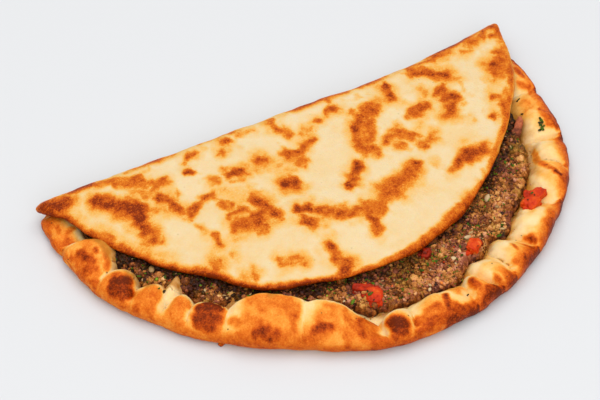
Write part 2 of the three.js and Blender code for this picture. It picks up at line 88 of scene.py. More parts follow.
# how the free edge of the flap strays from the round: angle, mm
FLAP_TRIM = [
    (30, 0), (37.2, -0.1), (42.7, 0.1), (47, -0.4), (52.2, -0.9), (59.3, -0.5), (65, -0.2), (69.4, -0.5), (74.3, -1.0),
    (78.3, -1.1), (83.3, -0.5), (88.1, -0.5), (92.5, -1.2), (96.9, -1.3), (101.1, -1.3), (105, -2.3), (109, -2.6),
    (112.8, -1.6), (116.5, -1.2), (120.3, -1.7), (124.5, -3.3), (128.5, -2.8), (132.5, -1.6), (136.8, -0.7),
    (141.6, -1.7), (145.1, -1.8), (147.9, -1.5), (150.7, -1.4), (153.8, -0.2), (157.6, 0.1), (160, 0),
]
RIGHT_TIP_END = 16.5
LEFT_TIP = (158.5, 170.0, 6.2, 14.0)
FILL_EDGE = [(-200, 128), (-185, 128), (-180, 129.5), (-168, 129), (-162, 129), (-158, 130.5), (-154.4, 124),
             (-152.6, 124), (-148.8, 121), (-146, 121.5), (-141.4, 121), (-137, 116), (-133, 115), (-121.7, 114),
             (-115, 114), (-108, 116), (-102.5, 123), (-98, 124.5), (-95, 123.5), (-91, 126), (-85, 126.5),
             (-80.5, 128.8), (-78, 128.6), (-75.9, 126), (-73.5, 122.5), (-72, 121.3), (-70, 123.5), (-68, 125.7),
             (-65.6, 124.9), (-63.4, 122.4), (-62, 123.2), (-60.3, 128.2), (-57, 127.8), (-54.5, 125.5), (-52, 125.6),
             (-48, 126), (-44, 126.8), (-39.9, 127.3), (-36, 127.6), (-33, 127.2), (-30, 126.2), (-24, 123.6),
             (-12, 121), (0, 119), (12, 116)]
TOMATO = [
    (89.6, -98.2, 10.4, 15.0, 11.0, 6.4, 18, 3.0, 1),
    (44.6, -111.8, 10.2, 10.5, 7.4, 6.2, 38, 2.6, 2),
    (-21.0, -112.4, 9.8, 12.5, 9.5, 5.6, 70, 2.8, 3),
    (19.8, -103.8, 10.0, 6.2, 5.2, 4.6, 50, 2.6, 4),
    (115.4, -47.4, 9.4, 12.0, 5.0, 3.8, 42, 2.4, 5),
]
RAD = math.pi / 180


def smooth(a, b, t):
    u = np.clip((t - a) / (b - a), 0.0, 1.0)
    return u * u * (3 - 2 * u)


def wrap(a):
    return (a + 180.0) % 360.0 - 180.0


def bell(d, w):
    return np.exp(-(d * d) / (w * w))


def front(deg):
    """Angle with the left tip carried below -180."""
    a = wrap(deg)
    return np.where(a > 158.5, a - 360.0, a)


def along(table, t):
    """Value from a table, eased from row to row."""
    T = np.array(table, float)
    i = np.clip(np.searchsorted(T[:, 0], t, side="right") - 1, 0, len(T) - 2)
    u = np.clip((t - T[i, 0]) / (T[i + 1, 0] - T[i, 0]), 0, 1)
    return T[i, 1] + (T[i + 1, 1] - T[i, 1]) * u * u * (3 - 2 * u)


def outline(deg):
    r = np.full(np.shape(deg), ROUND_RADIUS)
    for k, (a, b) in enumerate(STRAY):
        r = r + a * np.cos((k + 1) * deg * RAD) + b * np.sin((k + 1) * deg * RAD)
    for at, size, width in NICKS:
        r = r + size * bell(wrap(deg - at), width)
    return r + along(FLAP_TRIM, wrap(deg))


def pleat_at(deg, beta):
    """Which pleat, the next one, whether it is the last, and how far through it."""
    a = front(deg)
    shear = smooth(0, 150, beta)
    P = np.array(PLEATS)
    starts = P[:, 0][:, None] + (P[:, 1] - P[:, 0])[:, None] * shear.ravel()[None]
    starts = starts.reshape((len(PLEATS),) + np.shape(shear))
    i = np.clip((a[None] >= starts).sum(0) - 1, 0, len(PLEATS) - 1)
    nxt = np.clip(i + 1, 0, len(PLEATS) - 1)
    last = i == len(PLEATS) - 1
    s0 = np.take_along_axis(starts, i[None], 0)[0]
    s1 = np.where(last, RIGHT_TIP_END, np.take_along_axis(starts, nxt[None], 0)[0])
    return i, nxt, last, np.clip((a - s0) / (s1 - s0), 0, 1)


def rim(deg, beta):
    """Height, inward width, envelope height, crease closeness and lip."""
    a = front(deg)
    P = np.array(PLEATS)
    i, nxt, last, s = pleat_at(deg, beta)
    h, w, ridge, low0, rise, fall, cin, lip = (P[:, c][i] for c in (2, 3, 4, 5, 6, 7, 8, 9))
    h0, w0 = FLAP_RIM
    prev = np.clip(i - 1, 0, None)
    low_a = np.maximum(h0, low0 * np.minimum(h, P[:, 2][prev]))
    low_b = np.where(last, h0, np.maximum(h0, P[:, 5][nxt] * np.minimum(h, P[:, 2][nxt])))
    t = np.clip(s, 1e-6, 1) ** (np.log(0.5) / np.log(ridge))
    bump = np.sin(np.pi * np.clip(t, 0, 1))
    k = np.where(t < 0.5, np.maximum(bump, 0) ** rise, np.maximum(bump, 0) ** fall)
    low = low_a + (low_b - low_a) * smooth(0, 1, s)
    H = low + (np.maximum(h, low) - low) * k
    end = np.where(last, smooth(0.4, 1, s), 0)
    full = np.maximum(bump, 0) ** 0.8

    def across(col, share, at_end):
        v = P[:, col]
        a_ = share * np.minimum(v[i], v[prev])
        b_ = np.where(last, at_end, share * np.minimum(v[i], v[nxt]))
        v_low = a_ + (b_ - a_) * smooth(0, 1, s)
        return v_low + (np.maximum(v[i], v_low) - v_low) * full * (1 - end) + 0.0 * end
    W = across(3, 0.82, w0)
    # to the right the pleats run down to the filling
    T = np.array(FILL_EDGE, float)
    room = outline(deg) - np.interp(a, T[:, 0], T[:, 1]) - 1.2
    W = W + (room - W) * smooth(-98, -90, a) * (1 - smooth(-6, 4, a))
    C = across(8, np.where((a > -137.5) & (a < -110), 0.95, 0.62), 0.42 * w0)
    lip = lip * full
    # envelope: pleat heights joined smoothly, for the wall outside
    mid = np.append((P[:, 0] + np.append(P[1:, 0], RIGHT_TIP_END)) / 2, [RIGHT_TIP_END, -201.5, -190])
    val = np.append(P[:, 2] * 0.9, [h0, h0, 8.0])
    o = np.argsort(mid)
    env = np.interp(a, mid[o], val[o])
    close = 1 - k
    # tips
    f0, f1, th, tw = LEFT_TIP
    st = np.clip((a - (f0 - 360)) / (f1 - f0), 0, 1)
    kt = np.sin(np.pi * st) ** 0.7
    base = smooth(0, 1, st) * (PLEATS[0][2] * PLEATS[0][5] - h0)
    tip = a < f1 - 360
    H = np.where(tip, h0 + base + (th - h0 - base) * kt, H)
    first = P[0]
    W = np.where(tip, w0 + (tw - w0) * kt + (0.82 * first[3] - w0) * smooth(0.5, 1, st) * (1 - kt), W)
    C = np.where(tip, 0.42 * w0 + 0.42 * (tw - w0) * kt + (0.62 * first[8] - 0.42 * w0) * smooth(0.5, 1, st) * (1 - kt), C)
    flap = a >= RIGHT_TIP_END
    H = np.where(flap, h0, H)
    W = np.where(flap, w0, W)
    C = np.where(flap, 0.42 * w0, C)
    off = tip | flap
    return H, W, np.where(off, H, env), np.where(off, 0, close), np.where(off, 0, lip), C


def to_creases(deg, beta):
    """Distance along the rim to the crease before and the one after, mm, and which pleat."""
    i, nxt, last, s = pleat_at(deg, beta)
    P = np.array(PLEATS)
    length = np.where(last, RIGHT_TIP_END - P[:, 0][i], P[:, 0][nxt] - P[:, 0][i]) * 2.45
    return s * length, (1 - s) * length, i


def section(deg, beta):
    """How far in from the outline, and how high, at beta round the rim."""
    H, W, env, close, lip, C = rim(deg, beta)
    env = np.maximum(env, H * 0.9)
    foot = np.minimum(C, 6.5)
    out = 0.42 * np.minimum(env, 17.0)
    c, s = np.cos(beta * RAD), np.sin(beta * RAD)
    weight = smooth(5, 75, beta)
    top = env + (H - env) * weight
    dent = (close ** 1.5 * 1.0 + close ** 7 * 1.1) * bell(beta - 55, 38)
    belly = 0.6 * (1 - close) * bell(beta - 40, 35) * (env > 8)
    inward = np.where(beta <= 0, foot * (1 - c), np.where(beta <= 90, C * (1 - c), C - (W - C) * c)) + dent - belly
    sp = np.maximum(s, 0)
    z = np.where(beta <= 0, out * (1 + s),
                 np.where(beta <= 90, out + (np.maximum(top, out) - out) * sp ** 0.85,
                          SHEET + (H - SHEET) * sp ** (1 + 0.7 * lip)))
    return inward, z


def fold_y(x):
    return FOLD_Y - FOLD_DIP[0] * bell(x - FOLD_DIP[1], FOLD_DIP[2]) + FOLD_RISE[0] * (np.abs(x) / TIP_X) ** FOLD_RISE[1]


def fold_r(x):
    return FOLD_RADIUS - FOLD_TAPER * np.minimum(1, np.abs(x) / TIP_X) ** 4


def fold_arc(x):
    return np.pi * (fold_r(x) - SHEET / 2)


def flap_lift(x, y):
    inward = outline(np.arctan2(y, x) / RAD) - np.hypot(x, y)
    past = y - fold_y(x) - fold_arc(x)
    away = smooth(0, 45, past)
    droop = FLAP_DROOP * (1 - smooth(0, 34, inward)) * (1 - 0.75 * smooth(95, 140, np.abs(x)))
    wave = 0.55 * np.sin(x / 21 + 0.8) * np.cos(y / 27) + 0.35 * np.sin(x / 37 - y / 33)
    return away * (wave * smooth(2, 30, inward) - droop)


def fold(x, y, z):
    yf, r, arc = fold_y(x), fold_r(x), fold_arc(x)
    a = (y - yf) / (r - SHEET / 2)
    bent = (y > yf) & (y < yf + arc)
    over = y >= yf + arc
    Y = np.where(over, yf - (y - yf - arc), np.where(bent, yf + (r - z) * np.sin(a), y))
    Z = np.where(over, 2 * r - z + flap_lift(x, y), np.where(bent, r - (r - z) * np.cos(a), z))
    return np.stack([x, Y, Z], -1)


# ---- noise ----
def hash3(i, j, k, seed):
    n = (i * 374761393 + j * 668265263 + k * 1442695041 + seed * 974711) & 0xFFFFFFFF
    n = ((n ^ (n >> 13)) * 1274126177) & 0xFFFFFFFF
    n = ((n ^ (n >> 16)) * 2246822519) & 0xFFFFFFFF
    return ((n ^ (n >> 15)) & 0xFFFFFF) / float(0xFFFFFF) * 2 - 1


def noise(p, size, seed=0):
    """Smooth value noise, -1..1, of points in mm."""
    q = np.asarray(p, float) / size
    f = np.floor(q)
    i = f.astype(np.int64)
    u = q - f
    u = u * u * u * (u * (u * 6 - 15) + 10)
    out = 0.0
    for dx in (0, 1):
        wx = u[..., 0] if dx else 1 - u[..., 0]
        for dy in (0, 1):
            wy = u[..., 1] if dy else 1 - u[..., 1]
            for dz in (0, 1):
                wz = u[..., 2] if dz else 1 - u[..., 2]
                out = out + wx * wy * wz * hash3(i[..., 0] + dx, i[..., 1] + dy, i[..., 2] + dz, seed)
    return out


def fractal(p, size, seed=0, octaves=3):
    total, amp = 0.0, 1.0
    for o in range(octaves):
        total = total + amp * noise(p, size / 2 ** o, seed + 17 * o)
        amp *= 0.5
    return total / (2 - 0.5 ** (octaves - 1))


def cells(x, y, size, seed=0):
    """Distance to the nearest scattered point (in cell sizes) and its own number."""
    qx, qy = x / size, y / size
    ix, iy = np.floor(qx).astype(np.int64), np.floor(qy).astype(np.int64)
    best = np.full(x.shape, 9.0)
    tag = np.zeros(x.shape)
    for dx in (-1, 0, 1):
        for dy in (-1, 0, 1):
            cx, cy = ix + dx, iy + dy
            px = cx + 0.5 + 0.45 * hash3(cx, cy, cx * 0, seed)
            py = cy + 0.5 + 0.45 * hash3(cx, cy, cx * 0 + 1, seed)
            d = np.hypot(qx - px, qy - py)
            tag = np.where(d < best, hash3(cx, cy, cx * 0 + 2, seed), tag)
            best = np.minimum(best, d)
    return best, tag


def normals_of(V, F):
    n = np.cross(V[F[:, 1]] - V[F[:, 0]], V[F[:, 2]] - V[F[:, 0]])
    out = np.zeros_like(V)
    for k in range(3):
        for c in range(3):
            out[:, c] += np.bincount(F[:, k], weights=n[:, c], minlength=len(V))
    return out / np.maximum(np.linalg.norm(out, axis=1, keepdims=True), 1e-12)


def stitch(ang_a, at_a, ang_b, at_b):
    """Triangles between two closed rings of points sorted by angle."""
    def mids(ang):
        nxt = np.append(ang[1:], ang[0] + 360.0)
        return (ang + nxt) / 2
    ma, mb = mids(ang_a), mids(ang_b)
    n, m = len(ang_a), len(ang_b)
    ja = np.searchsorted(mb, ma) % m
    tri_a = np.stack([at_a, np.roll(at_a, -1), at_b[ja]], 1)
    ib = np.searchsorted(ma, mb, side="right") % n
    tri_b = np.stack([at_a[ib], np.roll(at_b, -1), at_b], 1)
    return np.concatenate([tri_a, tri_b])


# ---- bread ----
START = -195.0


def spread(density, fine):
    """Angles from START on, with the given number per degree."""
    total = np.concatenate([[0], np.cumsum((density[1:] + density[:-1]) / 2 * np.diff(fine))])
    n = max(6, int(round(total[-1])))
    return np.interp(np.arange(n) / n * total[-1], total, fine)


def bread_mesh():
    fine = np.linspace(START, START + 360, 7201)
    r0 = outline(fine)
    a = front(fine)
    x0, y0 = r0 * np.cos(fine * RAD), r0 * np.sin(fine * RAD)
    step = np.where(a < RIGHT_TIP_END, 0.8, 1.3)
    past = y0 - fold_y(x0)
    step = np.where((past > -3) & (past < fold_arc(x0) + 3), 0.7, step)
    ring_ang = spread(RAD * r0 / step, fine)
    pts, info, ang_list, at_list = [], [], [], []
    count = 0

    def add(ang, r, z, side, beta):
        nonlocal count
        x, y = r * np.cos(ang * RAD), r * np.sin(ang * RAD)
        pts.append(fold(x, y, z))
        info.append(np.stack([x, y, np.full_like(x, side), np.broadcast_to(beta, x.shape), ang], -1))
        ang_list.append(ang)
        at_list.append(np.arange(count, count + len(ang)))
        count += len(ang)

    def disc(reach_beta, z, side, step_r, step_flap, step_low, order):
        sizes, d = [], 0.0
        lim = 150.0
        while True:
            grow = step_r(d)
            d += grow
            if d > 128:
                break
            sizes.append(1 - d / 134.0)
        rows = []
        for s in sizes:
            beta = np.full_like(fine, float(reach_beta))
            reach = outline(fine) - section(fine, beta)[0]
            r = s * reach
            x, y = r * np.cos(fine * RAD), r * np.sin(fine * RAD)
            past = y - fold_y(x)
            st = np.where(past > fold_arc(x), step_flap, step_low(134 * (1 - s)))
            st = np.where((past > -2) & (past < fold_arc(x) + 2), min(1.0, step_flap), st)
            ang = spread(RAD * np.maximum(r, 0.5) / st, fine)
            rr = s * (outline(ang) - section(ang, np.full_like(ang, float(reach_beta)))[0])
            rows.append((ang, rr))
        for ang, rr in (rows if order > 0 else rows[::-1]):
            add(ang, rr, np.full_like(ang, z), side, reach_beta)

    betas = np.concatenate([np.arange(-90, 0, 11.25), np.arange(0, 90, 6), np.arange(90, 181, 6)])
    # outer surface, from its pole outward
    add(np.array([START]), np.array([0.01]), np.array([0.0]), 0, -90)
    disc(-90, 0.0, 0, lambda d: 1.15, 1.2, lambda d: 3.2, -1)
    for b in betas:
        beta = np.full_like(ring_ang, b)
        inward, z = section(ring_ang, beta)
        add(ring_ang, outline(ring_ang) - inward, z, 0 if b < 90 else 1, b)
    disc(180, SHEET, 1, lambda d: 1.3 if d < 26 else 4.0, 4.0, lambda d: 1.25 if d < 26 else 4.0, 1)
    add(np.array([START]), np.array([0.01]), np.array([SHEET]), 1, 180)
    F = []
    for k in range(len(at_list) - 1):
        A, B = (ang_list[k], at_list[k]), (ang_list[k + 1], at_list[k + 1])
        if len(A[1]) == 1:
            F.append(np.stack([np.full(len(B[1]), A[1][0]), np.roll(B[1], -1), B[1]], 1))
        elif len(B[1]) == 1:
            F.append(np.stack([A[1], np.roll(A[1], -1), np.full(len(A[1]), B[1][0])], 1))
        else:
            F.append(stitch(*A, *B))
    V, F, I = np.concatenate(pts), np.concatenate(F), np.concatenate(info)
    return V, F, I


# ---- filling ----
FILL_CENTRE = (0.0, -42.0)
FLOOR_Z = SHEET + 0.2


def fill_edge(deg):
    a = front(deg)
    t = np.array(FILL_EDGE, float)
    return np.interp(a, t[:, 0], t[:, 1])


def spill(x, y):
    """How far the filling has run out over the dough beside it."""
    p = np.stack([x, y, np.zeros_like(x)], -1)
    return 1.0 + 1.3 * noise(p, 6.5, 14) + 0.6 * noise(p, 2.8, 15)


def flap_under(x, y):
    """Height of the flap's underside over a folded position, and depth under its edge."""
    flat = 2 * fold_y(x) + fold_arc(x) - y
    under = outline(np.arctan2(flat, x) / RAD) - np.hypot(x, flat)
    return 2 * fold_r(x) - SHEET + flap_lift(x, flat), under


def meat_base(x, y):
    sheet, under = flap_under(x, y)
    open_ = FILL_TOP + 0.5 * np.sin(x / 9 + 1) * np.cos(y / 7) + 0.4 * np.sin(x / 4.3 - y / 6.1)
    return open_ + (sheet - 0.6 - open_) * smooth(*SLOT, under), sheet, under


def meat_top(x, y):
    base, sheet, under = meat_base(x, y)
    p = np.stack([x, y, np.zeros_like(x)], -1)
    mounds = 1.1 * fractal(p, 15, 3, 2) + 1.25 * noise(p, 5.5, 8)
    warp = np.stack([noise(p, 4, 41), noise(p, 4, 42)], -1)
    d1, tag1 = cells(x + 1.1 * warp[..., 0], y + 1.1 * warp[..., 1], 2.3, 5)
    d2, tag2 = cells(x + 0.5 * warp[..., 1], y + 0.5 * warp[..., 0], 1.25, 6)
    grains = 0.6 * (1 - d1 / 0.75) + 0.35 * tag1 + 0.28 * (1 - d2 / 0.75) + 0.12 * tag2
    r = np.hypot(x, y)
    deg = np.arctan2(y, x) / RAD
    d = fill_edge(deg) + spill(x, y) - r + 1.3 * noise(p, 7, 12) + 0.9 * noise(p, 3, 13)
    shoulder = np.sqrt(np.clip(1 - (1 - np.clip(d / 4.0, 0, 1)) ** 2, 0, 1))
    quiet = 1 - 0.75 * smooth(SLOT[0], SLOT[1], under)
    z = base + (mounds + grains - 0.35) * quiet
    z = np.where(y > fold_y(x) - 25, base - 0.3, z)
    z = FLOOR_Z + (z - FLOOR_Z) * shoulder
    z = np.where(under > -1, np.minimum(z, sheet - 0.5 - 1.2 * (1 - smooth(0, 10, under))), z)
    return z, tag1, tag2, d


def meat_mesh():
    cx, cy = FILL_CENTRE

    def inside(t, dx, dy):
        x, y = cx + t * dx, cy + t * dy
        deg = np.arctan2(y, x) / RAD
        back = y > fold_y(x) - 0.3
        return ~back & ((np.hypot(x, y) < fill_edge(deg) + spill(x, y)) | ((y > 0) & (np.abs(x) < 60)))

    fine = np.linspace(0, 2 * np.pi, 4001)[:-1]
    dx, dy = np.cos(fine), np.sin(fine)
    lo, hi = np.zeros_like(fine), np.full_like(fine, 230.0)
    for _ in range(40):
        m = (lo + hi) / 2
        ok = inside(m, dx, dy)
        lo, hi = np.where(ok, m, lo), np.where(ok, hi, m)
    ex, ey = cx + lo * dx, cy + lo * dy
    seg = np.hypot(np.diff(np.append(ex, ex[0])), np.diff(np.append(ey, ey[0])))
    step = np.where(ey < fold_y(ex) - 6, 0.72, 5.0)
    dens = np.concatenate([[0], np.cumsum(seg / step)])
    n = int(dens[-1])
    t = np.interp(np.arange(n) / n * dens[-1], dens, np.append(fine, 2 * np.pi))
    L = np.interp(t, fine, lo, period=2 * np.pi)
    ex, ey = cx + L * np.cos(t), cy + L * np.sin(t)
    back = smooth(-8, -0.5, ey - fold_y(ex))
    depths = np.concatenate([np.arange(0.0, 46, 0.72), [50, 56, 64, 74, 86]])
    rings = [np.stack([ex, ey, np.full(n, FLOOR_Z)], -1)]
    tags = [np.zeros((n, 2))]
    for d in depths:
        k = 1 - np.minimum(d, 0.97 * L) / L if d < 86 else np.full(n, 0.05)
        k = np.where(L < 70, 1 - np.minimum(d * L / 90.0, 0.97 * L) / L, k)
        x, y = cx + (ex - cx) * k, cy + (ey - cy) * k
        z, t1, t2, _ = meat_top(x, y)
        rings.append(np.stack([x, y, np.maximum(z, FLOOR_Z + 0.1)], -1))
        tags.append(np.stack([t1, t2], -1))
    rings.append(np.array([[cx, cy, meat_top(np.array([cx]), np.array([cy]))[0][0]]]))
    tags.append(np.zeros((1, 2)))
    V = np.concatenate(rings)
    T = np.concatenate(tags)
    F = []
    m = len(rings) - 1
    i = np.arange(n)
    j = (i + 1) % n
    for k in range(m - 1):
        A, B = k * n, (k + 1) * n
        F += [np.stack([A + i, A + j, B + j], 1), np.stack([A + i, B + j, B + i], 1)]
    F.append(np.stack([(m - 1) * n + i, (m - 1) * n + j, np.full(n, m * n)], 1))
    # flat bottom
    V = np.concatenate([V, [[cx, cy, FLOOR_Z]]])
    T = np.concatenate([T, [[0, 0]]])
    F.append(np.stack([j, i, np.full(n, m * n + 1)], 1))
    return V, np.concatenate(F), T
# ==== end of geometry ====


# ---- where the oven marked the bread (mm): radius, strength, then points ----
SPOTS = [
    (5.2, 0.95, (-145, 24, -136, 20)), (4.1, 0.95, (-118, 10, -112, 6)),
    (4.7, 0.97, (-109, 1, -104, -3, -103, -10)), (3.6, 0.8, (-107, -13, -103, -25)),
    (2, 0.6, (-104, -24, -101, -29)), (1.8, 0.75, (-113, 23, -102, 19, -90, 13)),
    (2, 0.75, (-103, 16, -91, 10, -86, 9)), (1.8, 0.5, (-98, 8, -92, 1)), (2.2, 0.75, (-88, 4, -80, 6)),
    (1, 0.4, (-86, 17, -82, 22)), (2.2, 0.8, (-87, -4, -86, -8, -85, -14, -82, -19)),
    (1.2, 0.5, (-79, -3, -80, -11)), (1.7, 0.5, (-96, -9, -90, -13)), (1.2, 0.45, (-91, 1, -85, -1)),
    (1.7, 0.7, (-126, -10, -123, -14)), (1.7, 0.7, (-118, -34, -112, -36)), (2.8, 0.9, (-60, 16, -57, 16)),
    (1.2, 0.6, (-65, 12, -64, 11)), (1.5, 0.8, (-67, 5, -65, 4)), (2.2, 0.85, (-39, 16, -35, 14)),
    (1.1, 0.55, (-28, 17, -20, 16)), (1.5, 0.75, (-43, 10, -43, 10)), (3.1, 0.9, (-27, -7, -27, -8)),
    (2.4, 0.85, (-47, -7, -41, -9)), (1.2, 0.6, (-48, -2, -46, -7)), (2.1, 0.7, (-59, -6, -56, -8)),
    (1, 0.5, (-49, -13, -44, -16)), (5.5, 0.3, (-59, -16, -51, -26, -57, -28)),
    (2.3, 0.8, (-62, -17, -68, -17)), (1.8, 0.75, (-62, -25, -58, -28)), (2.3, 0.85, (-78, -22, -72, -20)),
    (1.8, 0.8, (-84, -14, -82, -19)), (1.7, 0.55, (-81, -27, -81, -27)), (1.4, 0.5, (-79, -33, -77, -39)),
    (1.5, 0.7, (-74, -43, -74, -49)), (0.9, 0.35, (-66, -50, -66, -50)), (1.4, 0.5, (-72, -57, -72, -58)),
    (1.9, 0.7, (-82, -59, -85, -65)), (3.4, 0.85, (-44, -30, -42, -37, -40, -47)),
    (1.2, 0.6, (-40, -50, -38, -52)), (2, 0.75, (-62, -35, -54, -35)), (3.5, 0.82, (-62, -43, -49, -48)),
    (3, 0.82, (-51, -42, -45, -42)), (1.8, 0.65, (-54, -52, -50, -53)), (6.1, 0.35, (-62, -38, -48, -46)),
    (2.5, 0.8, (-13, -8, -5, -13, 4, -7)), (2.4, 0.65, (-9, -18, -7, -20)), (1.4, 0.45, (-20, -15, -19, -15)),
    (1.7, 0.4, (-16, -21, -15, -21)), (1.8, 0.8, (3, -0, 3, -0)), (0.8, 0.55, (0, 0, 10, -0)),
    (2, 0.7, (-8, 12, -4, 3)), (1.4, 0.75, (-8, 19, -6, 16)), (3.2, 0.95, (-23, -29, -19, -32)),
    (2.6, 0.95, (-27, -49, -22, -51)), (2.6, 0.9, (-29, -56, -25, -63)), (1.3, 0.6, (-53, -73, -41, -80)),
    (1.2, 0.55, (-54, -77, -43, -82)), (2.5, 0.25, (-51, -75, -43, -80)), (1.8, 0.75, (-70, -76, -70, -76)),
    (1.9, 0.6, (-76, -75, -76, -75)), (2.3, 0.9, (63, 10, 61, -1)), (1.8, 0.9, (24, 8, 29, 8)),
    (1.9, 0.75, (29, 16, 29, 15)), (1.4, 0.75, (15, 5, 16, 5)), (1.2, 0.45, (44, 11, 44, 11)),
    (0.9, 0.4, (53, 4, 52, -1)), (1.7, 0.7, (36, 1, 36, 1)), (4.1, 0.8, (46, -3, 38, -6, 31, -12, 28, -19)),
    (3.6, 0.75, (39, -11, 33, -22)), (2.9, 0.82, (27, -22, 29, -29, 33, -32)), (1, 0.5, (23, -31, 23, -32)),
    (2.5, 0.72, (41, -27, 48, -26, 55, -30)), (2.4, 0.7, (47, -33, 47, -36)), (1.9, 0.45, (53, -21, 53, -22)),
    (3, 0.92, (7, -46, 11, -41, 18, -36)), (2.8, 0.85, (64, -15, 67, -17)),
    (3.3, 0.82, (-17, -57, -10, -61, -3, -65, 5, -66)), (4.4, 0.8, (5, -66, 12, -69)),
    (2.6, 0.8, (4, -73, 3, -81)), (5, 0.72, (19, -62, 28, -59, 37, -57, 42, -53)),
    (2.9, 0.65, (25, -65, 25, -65)), (2.5, 0.9, (44, -51, 47, -52)),
    (3.1, 0.85, (-25, -80, -26, -87, -22, -95, -27, -98)), (2.5, 0.75, (144, 24, 132, 19, 123, 17)),
    (1.4, 0.75, (109, 17, 99, 16, 84, 17, 79, 13)), (1, 0.55, (115, 12, 121, 12)),
    (1.5, 0.8, (139, 15, 143, 15)), (1.9, 0.7, (141, 10, 138, 2)), (4.1, 0.8, (125, -5, 131, -4, 123, -11)),
    (2, 0.75, (133, 4, 134, 4)), (1.8, 0.7, (137, 3, 129, -17)), (3.1, 0.85, (82, 12, 90, 6, 97, -1)),
    (2.4, 0.5, (78, -3, 77, -8)), (2.5, 0.85, (88, -7, 89, -12)), (3.3, 0.85, (86, -9, 88, -16, 92, -17)),
    (3.9, 0.82, (91, -19, 84, -25)), (1.9, 0.75, (79, -27, 80, -27)), (1, 0.45, (94, -25, 94, -26)),
    (2.5, 0.8, (65, -17, 73, -15)), (0.9, 0.4, (102, -7, 100, -14)), (1.2, 0.45, (93, -36, 93, -36)),
    (1.8, 0.7, (51, -28, 58, -31)), (2.5, 0.7, (56, -39, 65, -37)), (1.9, 0.75, (56, -41, 57, -42)),
    (3, 0.3, (55, -54, 56, -54)), (2.8, 0.85, (61, -63, 69, -59)), (3.9, 0.86, (73, -58, 85, -58)),
    (1.7, 0.9, (104, -39, 104, -39)), (1.8, 0.75, (111, -26, 115, -28, 114, -33)),
    (2.3, 0.7, (121, -25, 109, -45)), (1.7, 0.6, (106, -49, 94, -62, 81, -71, 69, -80, 61, -85)),
]
